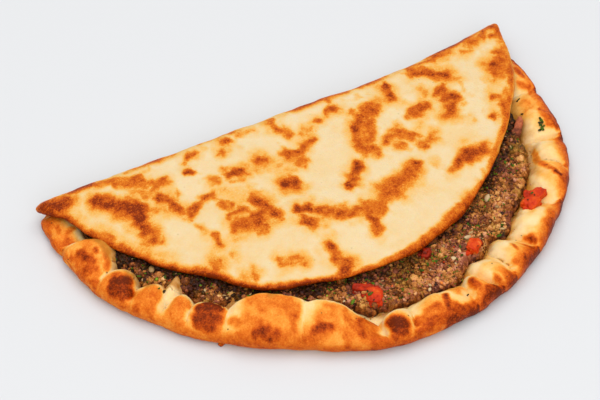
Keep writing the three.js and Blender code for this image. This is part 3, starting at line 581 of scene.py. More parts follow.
# browned places of the rim: radius, strength, then points x, y, z
PATCHES = [
    (1.3, 0.68, (-146, 21, 7, -146, 15, 7, -148, 9, 7, -148, 3, 6, -148, -0, 5)),
    (1.8, 0.6, (-143, 12, 9, -143, 8, 10)), (1.8, 0.56, (-147, 6, 7, -146, -0, 8)),
    (1.8, 0.6, (-139, 5, 10, -136, 7, 9)), (3.9, 0.66, (-145, -14, 11, -144, -18, 12, -140, -21, 13)),
    (4.2, 0.68, (-144, -25, 11, -140, -26, 13)), (1.2, 0.85, (-133, -18, 15, -133, -19, 15)),
    (1.8, 0.64, (-130, -22, 15, -131, -27, 13, -134, -29, 12)), (2, 0.7, (-143, -31, 10, -143, -35, 9)),
    (1.2, 0.55, (-129, -16, 15, -129, -20, 15)), (3.9, 0.8, (-141, -15, 14, -139, -22, 14)),
    (1.8, 0.66, (-147, 14, 6, -148, 5, 6)), (4.2, 0.62, (-23, -119, 4, -25, -124, 4, -30, -132, 8)),
    (3, 0.55, (-30, -110, 4, -28, -118, 4)), (3.6, 0.66, (-1, -140, 13, 4, -140, 14)),
    (3.6, 0.72, (-3, -146, 11, 4, -146, 12)), (3, 0.7, (-12, -147, 9, -9, -147, 9, -5, -148, 9)),
    (1.2, 0.66, (-148, -8, 7, -148, -15, 7, -148, -20, 6, -146, -26, 5, -145, -33, 5, -143, -40, 5)),
    (4.2, 0.98, (-134, -42, 14, -129, -45, 14)), (4.8, 0.92, (-137, -45, 12, -134, -48, 13, -131, -50, 12)),
    (3, 0.8, (-138, -47, 10, -136, -51, 10)), (2.4, 0.62, (-140, -46, 8, -138, -51, 8, -135, -55, 7)),
    (3, 0.58, (-125, -61, 13, -123, -62, 13)), (1.8, 0.58, (-128, -62, 11, -126, -67, 9)),
    (3, 0.6, (-111, -73, 14, -108, -74, 13)), (1.5, 0.62, (-118, -74, 12, -118, -76, 11)),
    (2.1, 0.58, (-117, -79, 10, -115, -82, 10)), (3, 0.95, (-104, -81, 14, -100, -83, 14, -96, -86, 14)),
    (4.2, 0.86, (-107, -85, 13, -104, -88, 13, -100, -91, 14)),
    (3, 0.8, (-109, -87, 11, -107, -90, 11, -104, -94, 12)), (1.4, 1.08, (-100, -80, 14, -95, -83, 13)),
    (2.4, 0.56, (-93, -96, 14, -91, -100, 15)), (2.4, 0.56, (-95, -103, 12, -91, -107, 12)),
    (4.2, 0.84, (-86, -109, 13, -82, -111, 15)), (3.9, 0.8, (-82, -114, 12, -78, -115, 13)),
    (3, 0.62, (-83, -106, 17, -82, -109, 16)), (2.4, 0.6, (-76, -117, 12, -73, -119, 11)),
    (3.6, 0.53, (-80, -92, 19, -72, -87, 10, -71, -97, 20)), (4.2, 0.52, (-69, -105, 19, -60, -97, 0)),
    (3.3, 0.82, (-60, -123, 14, -57, -123, 15, -53, -126, 15)), (1.8, 0.72, (-66, -123, 12, -64, -124, 13)),
    (2.4, 0.64, (-41, -124, 15, -39, -126, 14)), (3, 0.8, (-34, -127, 12, -36, -131, 12, -39, -136, 12)),
    (3, 0.53, (-46, -114, 17, -42, -117, 17, -40, -120, 16)), (1.5, 0.7, (-31, -126, 10, -31, -129, 10)),
    (4.8, 0.98, (-21, -138, 14, -17, -141, 14)), (4.2, 0.92, (-21, -143, 12, -19, -144, 12)),
    (2.4, 0.74, (-24, -145, 10, -20, -146, 9, -17, -147, 9)), (3, 0.64, (-9, -141, 9, -7, -142, 11)),
    (3, 0.58, (-4, -142, 12, 0, -145, 12)), (2.4, 0.66, (-9, -148, 8, -5, -148, 7, 0, -148, 6)),
    (1.6, 0.8, (11, -137, 15, 9, -142, 14, 7, -146, 11)), (2.4, 0.6, (9, -145, 12, 15, -148, 9)),
    (2.8, 0.76, (29, -135, 14, 30, -138, 14)), (2.4, 0.64, (30, -142, 13, 30, -143, 12)),
    (2.8, 0.92, (35, -142, 12, 34, -144, 11, 30, -146, 9)), (1.8, 0.76, (43, -137, 13, 43, -139, 12)),
    (1.8, 0.6, (44, -141, 11, 45, -143, 8)), (2.4, 0.6, (25, -144, 9, 29, -146, 9)),
    (2.5, 0.84, (74, -123, 11, 71, -129, 10)), (1.8, 0.66, (72, -121, 10, 70, -124, 10)),
    (1.8, 0.62, (62, -124, 15, 62, -127, 15)), (2.4, 0.6, (58, -133, 13, 64, -132, 12)),
    (1.2, 0.66, (111, -72, 8, 110, -77, 10, 111, -85, 13, 112, -91, 14)),
    (1, 1.05, (111, -90, 14, 113, -92, 13)), (1.8, 0.66, (112, -94, 13, 114, -96, 11)),
    (3, 0.66, (128, -70, 11, 128, -74, 11)), (2, 0.66, (127, -78, 10, 122, -86, 10)),
    (1.2, 0.58, (112, -67, 8, 112, -71, 9)), (1.3, 0.5, (131, -31, 9, 131, -35, 11)),
    (2.4, 0.66, (133, -43, 13, 132, -50, 13, 131, -56, 12)), (1.8, 0.55, (137, -28, 8, 137, -36, 10)),
    (1.8, 0.72, (140, -8, 10, 140, -15, 10)), (1.8, 0.6, (135, -19, 9, 139, -22, 8)),
    (1.6, 0.76, (135, -49, 12, 134, -54, 12, 134, -59, 10)),
    (1.2, 0.68, (-30, -144, 9, -24, -146, 9, -17, -147, 8, -9, -148, 6)),
]
# places of the rim that stayed pale
PALE = [
    (1.9, 0.85, (11, -133, 14, 14, -139, 14, 18, -142, 12, 22, -142, 11)),
    (2, 0.85, (23, -138, 11, 28, -131, 11, 35, -125, 10, 38, -125, 12)),
    (2.2, 0.8, (36, -120, 7, 40, -123, 11, 45, -124, 12)),
    (2, 0.9, (56, -109, 4, 53, -120, 9, 54, -126, 11, 51, -132, 11)), (1.2, 0.7, (48, -137, 13)),
    (2.2, 0.9, (59, -120, 13, 68, -114, 8, 72, -115, 11, 76, -113, 13, 80, -115, 15)),
    (2, 0.8, (80, -115, 15, 86, -113, 15, 91, -107, 12)),
    (2.5, 0.85, (109, -70, 6, 104, -78, 7, 101, -87, 9, 102, -93, 12)),
    (1.8, 0.5, (103, -97, 11, 104, -100, 10)), (2.4, 0.6, (116, -58, 7, 117, -63, 9, 122, -66, 10)),
    (1.8, 0.5, (119, -75, 13, 119, -80, 12)),
    (2.7, 0.45, (128, -44, 13, 124, -47, 12, 119, -51, 9, 122, -56, 11)),
]


def near(points, path):
    """Distance from points to a polyline, in the plane of the points."""
    path = np.asarray(path, float)
    best = np.full(len(points), 1e9)
    for a, b in zip(path[:-1], path[1:]):
        ab = b - a
        t = np.clip(((points - a) @ ab) / max(ab @ ab, 1e-9), 0, 1)
        best = np.minimum(best, np.linalg.norm(points - a - t[:, None] * ab, axis=1))
    return best


def bake_bread(V, I):
    x, y, side, beta, ang = I.T
    a = front(ang)
    low = a < RIGHT_TIP_END + 6
    past = y - fold_y(x)
    arc = fold_arc(x)
    top = (side == 0) & (past > arc * 0.35)
    base = np.full(len(V), 0.08)
    soft = fractal(V, 22, 71, 3)
    fine = fractal(V, 5, 75, 3)
    # rim in front: browned outside, pale inside and in the creases
    H, W, env, close, lip, C = rim(ang, beta)
    tone = np.interp(a, [-201, -185, -160, -140, -120, -100, -85, -65, -45, -30, -12, 5, 17],
                     [0.58, 0.55, 0.55, 0.54, 0.56, 0.60, 0.62, 0.58, 0.54, 0.54, 0.52, 0.55, 0.55])
    fade = np.interp(a, [-200, -120, -100, -90, 10], [36, 40, 62, 70, 74])
    reach = np.interp(a, [-200, -120, -112, -103, -99, -92, -60, -30, -14, 10], [126, 124, 110, 120, 120, 114, 112, 114, 116, 120])
    wall = smooth(-88, -60, beta) * (1 - smooth(reach - fade, reach + 14, beta + 12 * fine + 14 * soft))
    edge = (np.interp(a, [-200, -150, -100, -60, 10], [0.04, 0.0, 0.04, 0.10, 0.14]) * bell(beta - 10, 40)
            + np.interp(a, [-200, -150, -125, -105, -90, -60, -20, 10], [0.16, 0.14, 0.05, 0.12, 0.18, 0.26, 0.24, 0.20]) * bell(beta - np.interp(a, [-110, -80, -60, -45, -20, 5], [-28, -26, -9, 1, 14, 27]), 13))
    outer = np.interp(a, [-200, -110, -80, 10], [0.0, 0.0, 0.10, 0.14]) * (1 - smooth(20, 95, beta))
    since, until, which = to_creases(ang, beta)
    after = np.array(VALLEY)[:, 0][which]                                  # pale reach beside a crease
    before = np.append(np.array(VALLEY)[1:, 1], 2.0)[which]
    ragged = 2.0 * fractal(V, 6, 83, 3)
    valley = np.maximum(1 - smooth(0.25 * after, 1.35 * after, since + ragged), 1 - smooth(0.25 * before, 1.35 * before, until + ragged))
    lowest = np.where(which == 6, 6.0, np.where(which == 7, 24.0, 14.0))
    groove = valley * smooth(lowest, lowest + 60, beta + 10 * soft)
    mottle = 0.16 * smooth(0.12, 0.5, fractal(V, 8, 77, 3)) - 0.17 * smooth(0.10, 0.5, fractal(V, 11, 78, 2))
    # Across each pleat on the right the tone runs from paler at its start to darker toward its end: partly browning,
    # partly painted light and shade.
    through = (pleat_at(ang, beta)[3] - 0.42) * np.interp(a, [-200, -98, -86, -18, -8], [0.0, 0.0, 0.34, 0.34, 0.0])
    rimmed = wall * (tone + through + edge + 0.10 * soft + 0.08 * fine + mottle + outer) * (1 - 0.86 * groove)
    rimmed = rimmed + 0.07 * bell(beta + 8, 24) * smooth(-142, -132, a) * smooth(-96, -104, a)
    rimmed = rimmed * (1 - 0.42 * bell(beta + 46, 11) * smooth(-142, -132, a) * smooth(-96, -104, a))
    in_front = low & (beta > -89.9) & (past < arc * 0.5)
    golden = smooth(-98, -88, a)
    # On the right the low inner slope at the foot of the rim is painted deeper golden: painted warm shade in the
    # recess.
    inner = np.clip(0.14 - 0.04 * golden + 0.14 * golden * smooth(150, 100, beta) + 0.26 * golden * smooth(125, 170, beta) + (0.20 + 0.16 * golden) * soft + (0.10 + 0.06 * golden) * fine + 0.55 * through, 0.03, 0.5) * (beta < 172)
    inner = inner * (1 - (0.6 - 0.25 * golden) * groove)
    base = np.where(in_front, np.maximum(np.maximum(base, inner), rimmed), base)
    # Painted warm shade: on the right the dough floor inside the rim is painted more golden.
    base = np.where((side == 1) & (past < 0) & (beta >= 172), base + (0.16 + 0.12 * fine) * golden, base)
    # underside and the back of the fold
    under = (side == 0) & ~low & (past < arc * 0.35) | (side == 0) & (beta <= -89.9) & (past < arc * 0.35)
    base = np.where(under, 0.42 + 0.3 * soft + 0.22 * fine, base)
    r_in = outline(ang) - np.hypot(x, y)
    back = bell(past - arc * 0.80, arc * 0.15) * (side == 0)
    along_fold = noise(np.stack([x, 0 * x, 0 * x], -1), 15, 81)
    base = np.maximum(base, back * np.clip(0.62 + 0.55 * along_fold + 0.45 * fine, 0, 0.95))
    # rim of the flap: thin and dark in the middle, broader and browner to the sides; the lower side of its edge and its
    # underside get painted shade
    inw = np.where(beta > -89.9, 5.04 * (1 - np.cos(np.clip(beta, -90, 0) * RAD)), r_in)
    stray = 1.5 * fractal(V, 8, 79, 3) + 0.5 * noise(V, 2.6, 80)
    inw = np.maximum(inw + stray, 0)
    to_right = 1 - smooth(84, 100, ang)
    band = np.interp(ang, [17, 40, 47, 53, 60, 66, 70, 75, 81, 90], [4.6, 4.8, 4.6, 3.0, 2.0, 3.6, 4.6, 5.2, 3.4, 2.6])
    broad_edge = 0.66 * (1 + 0.15 * bell(ang - 39, 6)) * (1 - smooth(0.40 * band, 1.35 * band, inw)) ** 0.85
    # Painted shade: from about 46 degrees on, the lower side of the broad edge is darker.
    broad_edge = broad_edge * (1 - 0.40 * bell(beta + 14, 15) * (beta > -89.9) * (1 - smooth(46, 60, ang))) + 0.30 * smooth(-40, -8, beta) * smooth(46, 60, ang) * (1 - 0.7 * bell(ang - 92, 12))
    reach_in = np.interp(ang, [90, 100, 112, 120, 130, 145, 158], [2.6, 2.6, 3.1, 3.5, 4.0, 4.4, 4.6])
    thin_edge = 0.52 * (1 - smooth(0.25 * reach_in, 1.45 * reach_in, inw)) + 0.20 * (1 - smooth(0.1 * reach_in, 0.75 * reach_in, inw))
    # Painted shade: the lower side of the thin edge is darker.
    thin_edge = thin_edge + 0.36 * smooth(-44, -8, beta) * (1 - 0.7 * bell(ang - 94, 12)) * (1 - 0.6 * smooth(134, 146, ang))
    wash_edge = 0.30 * smooth(122, 140, ang) * (1 - smooth(3.0, 15.0, r_in + 3 * stray))
    lip_tone = np.maximum(broad_edge * to_right + thin_edge * (1 - to_right), wash_edge)
    # Painted shade: the underside of the flap's edge, facing the filling, is darker.
    lip_tone = lip_tone * np.clip(0.98 + 0.20 * noise(V, 9, 81) + 0.16 * noise(V, 3.2, 82), 0.6, 1.2) + 0.3 * smooth(0, 25, beta)
    base = np.where((past > arc * 0.8) & ((side == 0) | (beta < 150)), np.maximum(base, lip_tone), base)
    # scorched spots of the flap
    warp = (np.stack([noise(V, 13, 35), noise(V, 13, 36)], -1) * 0.6 + np.stack([noise(V, 6, 31), noise(V, 6, 32)], -1) * 1.5
            + np.stack([noise(V, 2.7, 33), noise(V, 2.7, 34)], -1) * 1.3)
    sel = np.where(top)[0]
    p = V[sel, :2] + warp[sel]
    # a spot runs a little further across the flap than along it
    right, ahead = np.array([0.8687, -0.4954]), np.array([0.4954, 0.8687])
    q = np.stack([p @ right, (p @ ahead) * 0.76], -1)
    f = np.zeros(len(sel))
    halo = np.zeros(len(sel))
    for radius, strength, path in SPOTS:
        path = np.array(path, float).reshape(-1, 2)
        path = np.stack([path @ right, (path @ ahead) * 0.76], -1)
        d = near(q, path)
        f = np.maximum(f, strength * 1.02 * (1 - smooth(radius * 0.28 - 0.4, radius * 1.55 + 1.8, d)) ** 0.85)
        halo = np.maximum(halo, strength * 0.50 * (1 - smooth(radius - 1, radius + 8.5, d)))
    mott = fractal(V[sel], 4.2, 91, 3)
    wash = fractal(V[sel], 14, 92, 3)
    f = np.maximum(f * (0.93 + 0.42 * mott), halo * np.clip(0.75 + 0.9 * wash + 0.3 * mott, 0, 1.4))
    freckle = 0.26 * smooth(0.30, 0.6, fractal(V[sel], 6, 97, 3)) * smooth(-0.2, 0.4, noise(V[sel], 40, 98))
    base[sel] = np.maximum(base[sel], np.maximum(f, freckle))
    # cream blotches of the flap
    base[sel] += 0.14 * np.clip(wash + 0.05, 0, 1) + 0.03 * fine[sel] - 0.042
    # browned places of the rim
    front_v = np.where(low & (beta > -80) & (beta < 165))[0]
    pv = V[front_v]
    wv = warp[front_v][:, [0, 1, 0]] * np.array([1, 1, 0.6]) * 0.55
    mv = noise(pv, 2.4, 95)
    for radius, strength, path in PALE:
        d = near(pv + wv, np.array(path, float).reshape(-1, 3))
        base[front_v] *= 1 - 0.75 * strength * (1 - smooth(radius * 0.5, radius * 1.5 + 1.2, d + 0.5 * mv))
    for radius, strength, path in PATCHES:
        d = near(pv + wv, np.array(path, float).reshape(-1, 3))
        w = strength * 1.02 * (1 - smooth(radius * 0.4, radius * 1.35 + 1.6, d))
        base[front_v] = np.maximum(base[front_v], w * (1 + (0.14 * mv + 0.10 * fine[front_v]) * (w < 0.85)))
    return np.clip(base, 0, 1.15)


# ---- making pieces ----
def piece(name, V, F, material, node, values=None, smooth_shaded=True):
    mesh = bpy.data.meshes.new(name)
    co = ((V + SHIFT) * 0.001).astype(np.float32)
    F = np.asarray(F, np.int32)
    mesh.vertices.add(len(co))
    mesh.vertices.foreach_set("co", co.ravel())
    mesh.loops.add(F.size)
    mesh.loops.foreach_set("vertex_index", F.ravel())
    mesh.polygons.add(len(F))
    mesh.polygons.foreach_set("loop_start", np.arange(0, F.size, 3, dtype=np.int32))
    mesh.polygons.foreach_set("loop_total", np.full(len(F), 3, np.int32))
    mesh.update(calc_edges=True)
    mesh.validate()
    if smooth_shaded:
        mesh.polygons.foreach_set("use_smooth", np.ones(len(F), bool))
    for key, val in (values or {}).items():
        att = mesh.attributes.new(key, "FLOAT", "POINT")
        att.data.foreach_set("value", np.asarray(val, np.float32))
    mesh.update()
    ob = bpy.data.objects.new(name, mesh)
    bpy.context.scene.collection.objects.link(ob)
    mesh.materials.append(material)
    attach(ob, "root")
    for n in ([node] if isinstance(node, str) else node or []):
        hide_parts(n)
    return ob


def lin(r, g, b, k=1.0):
    def one(v):
        v /= 255.0
        return k * (v / 12.92 if v <= 0.04045 else ((v + 0.055) / 1.055) ** 2.4)
    return (one(r), one(g), one(b), 1.0)


class Nodes:
    """Small helper to build a material."""

    def __init__(self, name):
        self.mat = bpy.data.materials.new(name)
        self.mat.use_nodes = True
        self.tree = self.mat.node_tree
        self.tree.nodes.clear()
        self.out = self.tree.nodes.new("ShaderNodeOutputMaterial")
        self.bsdf = self.tree.nodes.new("ShaderNodeBsdfPrincipled")
        self.tree.links.new(self.bsdf.outputs[0], self.out.inputs[0])
        self.coord = self.tree.nodes.new("ShaderNodeTexCoord").outputs["Object"]

    def put(self, socket, value):
        if hasattr(value, "links") or isinstance(value, bpy.types.NodeSocket):
            self.tree.links.new(value, socket)
        else:
            socket.default_value = value

    def attr(self, name):
        n = self.tree.nodes.new("ShaderNodeAttribute")
        n.attribute_name = name
        return n.outputs["Fac"]

    def noise(self, scale, detail=3.0, rough=0.55, distort=0.0):
        n = self.tree.nodes.new("ShaderNodeTexNoise")
        n.inputs["Scale"].default_value = scale
        n.inputs["Detail"].default_value = detail
        n.inputs["Roughness"].default_value = rough
        n.inputs["Distortion"].default_value = distort
        self.tree.links.new(self.coord, n.inputs["Vector"])
        return n.outputs["Fac"]

    def voronoi(self, scale, out="Distance"):
        n = self.tree.nodes.new("ShaderNodeTexVoronoi")
        n.inputs["Scale"].default_value = scale
        self.tree.links.new(self.coord, n.inputs["Vector"])
        return n.outputs[out]

    def math(self, op, a, b=0.0, c=0.0):
        n = self.tree.nodes.new("ShaderNodeMath")
        n.operation = op
        for s, v in zip(n.inputs, (a, b, c)):
            self.put(s, v)
        return n.outputs[0]

    def span(self, value, a, b, c=0.0, d=1.0):
        n = self.tree.nodes.new("ShaderNodeMapRange")
        n.inputs["From Min"].default_value = a
        n.inputs["From Max"].default_value = b
        n.inputs["To Min"].default_value = c
        n.inputs["To Max"].default_value = d
        self.put(n.inputs["Value"], value)
        return n.outputs["Result"]

    def ramp(self, value, stops, k=1.0):
        n = self.tree.nodes.new("ShaderNodeValToRGB")
        el = n.color_ramp.elements
        while len(el) < len(stops):
            el.new(0.5)
        for e, (at, colour) in zip(el, stops):
            e.position = at
            e.color = lin(*colour, k)
        self.put(n.inputs[0], value)
        return n.outputs[0]

    def mix(self, fac, a, b, kind="MIX"):
        n = self.tree.nodes.new("ShaderNodeMix")
        n.data_type = "RGBA"
        n.blend_type = kind
        self.put(n.inputs[0], fac)
        self.put(n.inputs[6], a)
        self.put(n.inputs[7], b)
        return n.outputs[2]

    def bump(self, height, strength, distance, normal=None):
        n = self.tree.nodes.new("ShaderNodeBump")
        n.inputs["Strength"].default_value = strength
        n.inputs["Distance"].default_value = distance
        self.put(n.inputs["Height"], height)
        if normal is not None:
            self.tree.links.new(normal, n.inputs["Normal"])
        return n.outputs[0]

    def set(self, name, value):
        self.put(self.bsdf.inputs[name], value)


def dough_material():
    m = Nodes("baked_dough")
    bake = m.attr("bake")
    fine = m.noise(900, 4, 0.6)
    mid = m.noise(260, 3, 0.55)
    broad = m.noise(45, 3, 0.5)
    grit = m.noise(1900, 2, 0.5)
    calm = m.math("SUBTRACT", 1.0, m.math("MULTIPLY", m.attr("crust"), 0.45))
    v = m.math("ADD", bake, m.math("MULTIPLY", m.math("SUBTRACT", mid, 0.5), m.math("MULTIPLY_ADD", bake, 0.45, 0.04)))
    v = m.math("ADD", v, m.math("MULTIPLY", m.math("SUBTRACT", fine, 0.5), m.math("MULTIPLY", calm, m.math("MULTIPLY_ADD", bake, 1.1, 0.02))))
    v = m.math("ADD", v, m.math("MULTIPLY", m.math("SUBTRACT", grit, 0.5), m.math("MULTIPLY", calm, m.math("MULTIPLY_ADD", bake, 0.8, 0.0))))
    sheet = m.ramp(v, [(0.0, (247, 224, 180)), (0.10, (247, 212, 153)), (0.20, (250, 201, 122)), (0.31, (250, 184, 86)),
                       (0.43, (245, 154, 46)), (0.55, (233, 126, 26)), (0.67, (218, 104, 18)), (0.79, (198, 84, 6)),
                       (0.90, (170, 64, 2)), (1.0, (136, 46, 2))], 0.765)
    # the cream of the sheet is a little uneven
    blotch = m.span(broad, 0.5, 0.68)
    pale = m.span(bake, 0.0, 0.3, 0.4, 0.0)
    sheet = m.mix(m.math("MULTIPLY", blotch, pale), sheet, lin(246, 203, 132, 0.765))
    rim = m.ramp(v, [(0.0, (243, 216, 166)), (0.10, (243, 206, 142)), (0.20, (243, 194, 116)), (0.31, (242, 175, 82)),
                     (0.43, (238, 148, 52)), (0.55, (225, 119, 30)), (0.67, (206, 92, 15)), (0.80, (174, 66, 5)),
                     (0.91, (138, 48, 2)), (1.0, (104, 34, 2))], 0.93)
    col = m.mix(m.attr("crust"), sheet, rim)
    # burnt specks and pores
    cell = m.voronoi(330, "Distance")
    pick = m.span(m.voronoi(330, "Color"), 0.84, 0.86)
    speck = m.math("MULTIPLY", m.span(cell, 0.10, 0.22, 0.8, 0.0), pick)
    speck = m.math("MULTIPLY", speck, m.attr("specks"))
    col = m.mix(speck, col, lin(110, 58, 28, 0.8))
    # fat from the filling soaks the bread beside it; where the band is widened on the right it also stands for painted
    # warm shade at the foot of the rim
    grease = m.math("MULTIPLY", m.attr("grease"), m.span(mid, 0.35, 0.6, 0.7, 1.0))
    col = m.mix(grease, col, lin(186, 118, 36, 0.92))
    m.set("Base Color", col)
    rough = m.math("ADD", m.span(v, 0.1, 0.8, 0.66, 0.44), m.math("MULTIPLY", m.math("SUBTRACT", fine, 0.5), 0.25))
    m.set("Roughness", rough)
    m.bsdf.inputs["Specular IOR Level"].default_value = 0.07
    m.bsdf.inputs["Subsurface Weight"].default_value = 0.22
    m.bsdf.inputs["Subsurface Radius"].default_value = (1.0, 0.42, 0.14)
    m.bsdf.inputs["Subsurface Scale"].default_value = 0.003
    h = m.math("ADD", m.math("MULTIPLY", fine, 0.8), mid)
    h = m.math("SUBTRACT", h, m.math("MULTIPLY", speck, 0.8))
    n1 = m.bump(h, 0.6, 0.0008)
    m.set("Normal", n1)
    return m.mat


def meat_material():
    m = Nodes("minced_meat")
    tone = m.attr("tone")
    fine = m.noise(1500, 3, 0.6)
    mid = m.noise(420, 3, 0.6)
    v = m.math("ADD", tone, m.math("MULTIPLY", m.math("SUBTRACT", mid, 0.5), 0.9))
    v = m.math("ADD", v, m.math("MULTIPLY", m.math("SUBTRACT", fine, 0.5), 0.8))
    col = m.ramp(v, [(0.0, (42, 16, 2)), (0.2, (96, 46, 10)), (0.42, (152, 86, 32)), (0.62, (194, 122, 58)),
                     (0.82, (218, 154, 88)), (1.0, (234, 182, 118))], 1.0)
    hue = m.attr("hue")
    broad = m.noise(120, 2, 0.5)
    small = m.math("MULTIPLY_ADD", m.noise(640, 2, 0.5), 2.6, -1.3)
    h2 = m.math("ADD", m.math("MULTIPLY_ADD", broad, 0.8, -0.4), m.math("ADD", hue, small))
    olive = m.math("MULTIPLY", m.span(h2, 0.2, 0.8), 0.66)
    col = m.mix(olive, col, m.ramp(v, [(0.0, (38, 28, 4)), (0.5, (152, 108, 32)), (1.0, (226, 182, 88))], 1.0))
    ruddy = m.math("MULTIPLY", m.span(m.math("MULTIPLY", h2, -1.0), 0.15, 0.7), 0.8)
    col = m.mix(ruddy, col, m.ramp(v, [(0.0, (44, 18, 14)), (0.5, (150, 80, 62)), (1.0, (222, 158, 132))], 1.0))
    m.set("Base Color", col)
    m.set("Roughness", m.span(mid, 0.3, 0.7, 0.28, 0.6))
    m.bsdf.inputs["Specular IOR Level"].default_value = 0.17
    h = m.math("ADD", m.math("MULTIPLY", fine, 0.5), mid)
    m.set("Normal", m.bump(h, 0.7, 0.0008))
    return m.mat


def herb_material():
    m = Nodes("herbs")
    tone = m.attr("tone")
    fine = m.noise(900, 3, 0.6)
    v = m.math("ADD", tone, m.math("MULTIPLY", m.math("SUBTRACT", fine, 0.5), 0.6))
    col = m.ramp(v, [(0.0, (44, 26, 8)), (0.22, (58, 50, 10)), (0.42, (60, 78, 12)), (0.65, (78, 110, 16)), (0.85, (116, 150, 28)),
                     (1.0, (170, 194, 56))], 0.85)
    m.bsdf.inputs["Specular IOR Level"].default_value = 0.12
    m.set("Base Color", col)
    m.set("Roughness", m.span(fine, 0.3, 0.7, 0.4, 0.6))
    m.set("Normal", m.bump(fine, 0.4, 0.0004))
    return m.mat


def onion_material():
    m = Nodes("onion")
    tone = m.attr("tone")
    fine = m.noise(500, 3, 0.6)
    v = m.math("ADD", tone, m.math("MULTIPLY", m.math("SUBTRACT", fine, 0.5), 0.5))
    col = m.ramp(v, [(0.0, (96, 62, 60)), (0.3, (166, 122, 74)), (0.6, (214, 172, 112)), (0.85, (236, 202, 152)),
                     (1.0, (246, 214, 160))], 0.66)
    m.bsdf.inputs["Specular IOR Level"].default_value = 0.2
    m.set("Base Color", col)
    m.set("Roughness", m.span(fine, 0.3, 0.7, 0.25, 0.45))
    m.set("Normal", m.bump(fine, 0.3, 0.0004))
    return m.mat


def tomato_material():
    m = Nodes("tomato")
    tone = m.attr("tone")
    fine = m.noise(800, 3, 0.6)
    mid = m.noise(240, 3, 0.5)
    v = m.math("ADD", tone, m.math("MULTIPLY", m.math("SUBTRACT", mid, 0.5), 1.1))
    v = m.math("ADD", v, m.math("MULTIPLY", m.math("SUBTRACT", fine, 0.5), 0.6))
    col = m.ramp(v, [(0.0, (96, 24, 8)), (0.3, (168, 38, 8)), (0.55, (212, 54, 8)), (0.8, (232, 84, 16)),
                     (1.0, (244, 138, 60))], 0.80)
    m.set("Base Color", col)
    col = m.mix(m.attr("pale"), col, m.ramp(v, [(0.0, (110, 56, 34)), (0.5, (176, 104, 66)), (1.0, (214, 148, 104))], 0.85))
    m.tree.links.new(col, m.bsdf.inputs["Base Color"])
    m.set("Roughness", m.span(fine, 0.3, 0.7, 0.3, 0.5))
    m.bsdf.inputs["Specular IOR Level"].default_value = 0.12
    m.set("Normal", m.bump(m.math("ADD", mid, m.math("MULTIPLY", fine, 0.4)), 0.35, 0.0006))
    return m.mat


# ---- small lumps, joined ----
def ball(level):
    bm = bmesh.new()
    bmesh.ops.create_icosphere(bm, subdivisions=level, radius=1.0)
    V = np.array([v.co[:] for v in bm.verts])
    F = np.array([[v.index for v in f.verts] for f in bm.faces])
    bm.free()
    return V, F


def turned(n):
    """Random rotations."""
    q = rng.normal(size=(n, 4))
    q /= np.linalg.norm(q, axis=1, keepdims=True)
    w, x, y, z = q.T
    return np.stack([
        np.stack([1 - 2 * (y * y + z * z), 2 * (x * y - w * z), 2 * (x * z + w * y)], -1),
        np.stack([2 * (x * y + w * z), 1 - 2 * (x * x + z * z), 2 * (y * z - w * x)], -1),
        np.stack([2 * (x * z - w * y), 2 * (y * z + w * x), 1 - 2 * (x * x + y * y)], -1)], 1)


def lumps(at, size, level, rough=0.3, seed=0, rot=None):
    """Uneven lumps: at (n,3), size (n,3) half lengths."""
    B, F = ball(level)
    n = len(at)
    own = np.arange(n)[:, None, None] * 13.7 + B[None] * 1.25
    k = 1 + rough * noise(own, 1.0, seed) + rough * 0.5 * noise(own, 0.5, seed + 3)
    P = B[None] * k[..., None] * np.asarray(size)[:, None, :]
    R = turned(n) if rot is None else rot
    P = np.einsum("nij,nkj->nki", R, P) + np.asarray(at)[:, None, :]
    faces = (F[None] + (np.arange(n) * len(B))[:, None, None]).reshape(-1, 3)
    return P.reshape(-1, 3), faces, len(B)


def flat_turn(angles, tilt=0.35):
    """Rotations about the upright axis, with a little tilt."""
    n = len(angles)
    a = np.asarray(angles) * RAD
    c, s, o, z = np.cos(a), np.sin(a), np.ones(n), np.zeros(n)
    Rz = np.stack([np.stack([c, -s, z], -1), np.stack([s, c, z], -1), np.stack([z, z, o], -1)], 1)
    ax, ay = rng.normal(0, tilt, n), rng.normal(0, tilt, n)
    cx, sx, cy, sy = np.cos(ax), np.sin(ax), np.cos(ay), np.sin(ay)
    Rx = np.stack([np.stack([o, z, z], -1), np.stack([z, cx, -sx], -1), np.stack([z, sx, cx], -1)], 1)
    Ry = np.stack([np.stack([cy, z, sy], -1), np.stack([z, o, z], -1), np.stack([-sy, z, cy], -1)], 1)
    return Rz @ Rx @ Ry


def scatter(n, inner=-9.0, outer=0.0, seed=0):
    """Places in the open crescent of filling: x and y."""
    g = np.random.default_rng(seed)
    got = []
    while sum(len(a) for a in got) < n:
        deg = g.uniform(-188, 2, 6000)
        r = np.sqrt(g.uniform(60 ** 2, 137 ** 2, 6000))
        x, y = r * np.cos(deg * RAD), r * np.sin(deg * RAD)
        _, under = flap_under(x, y)
        ok = (under < -inner) & (r < fill_edge(deg) - outer)
        got.append(np.stack([x[ok], y[ok]], -1))
    p = np.concatenate(got)[:n]
    return p[:, 0], p[:, 1]


# ==== pieces ====
DOUGH, MEAT, HERB, ONION, TOMATO_M = (dough_material(), meat_material(), herb_material(), onion_material(),
                                      tomato_material())

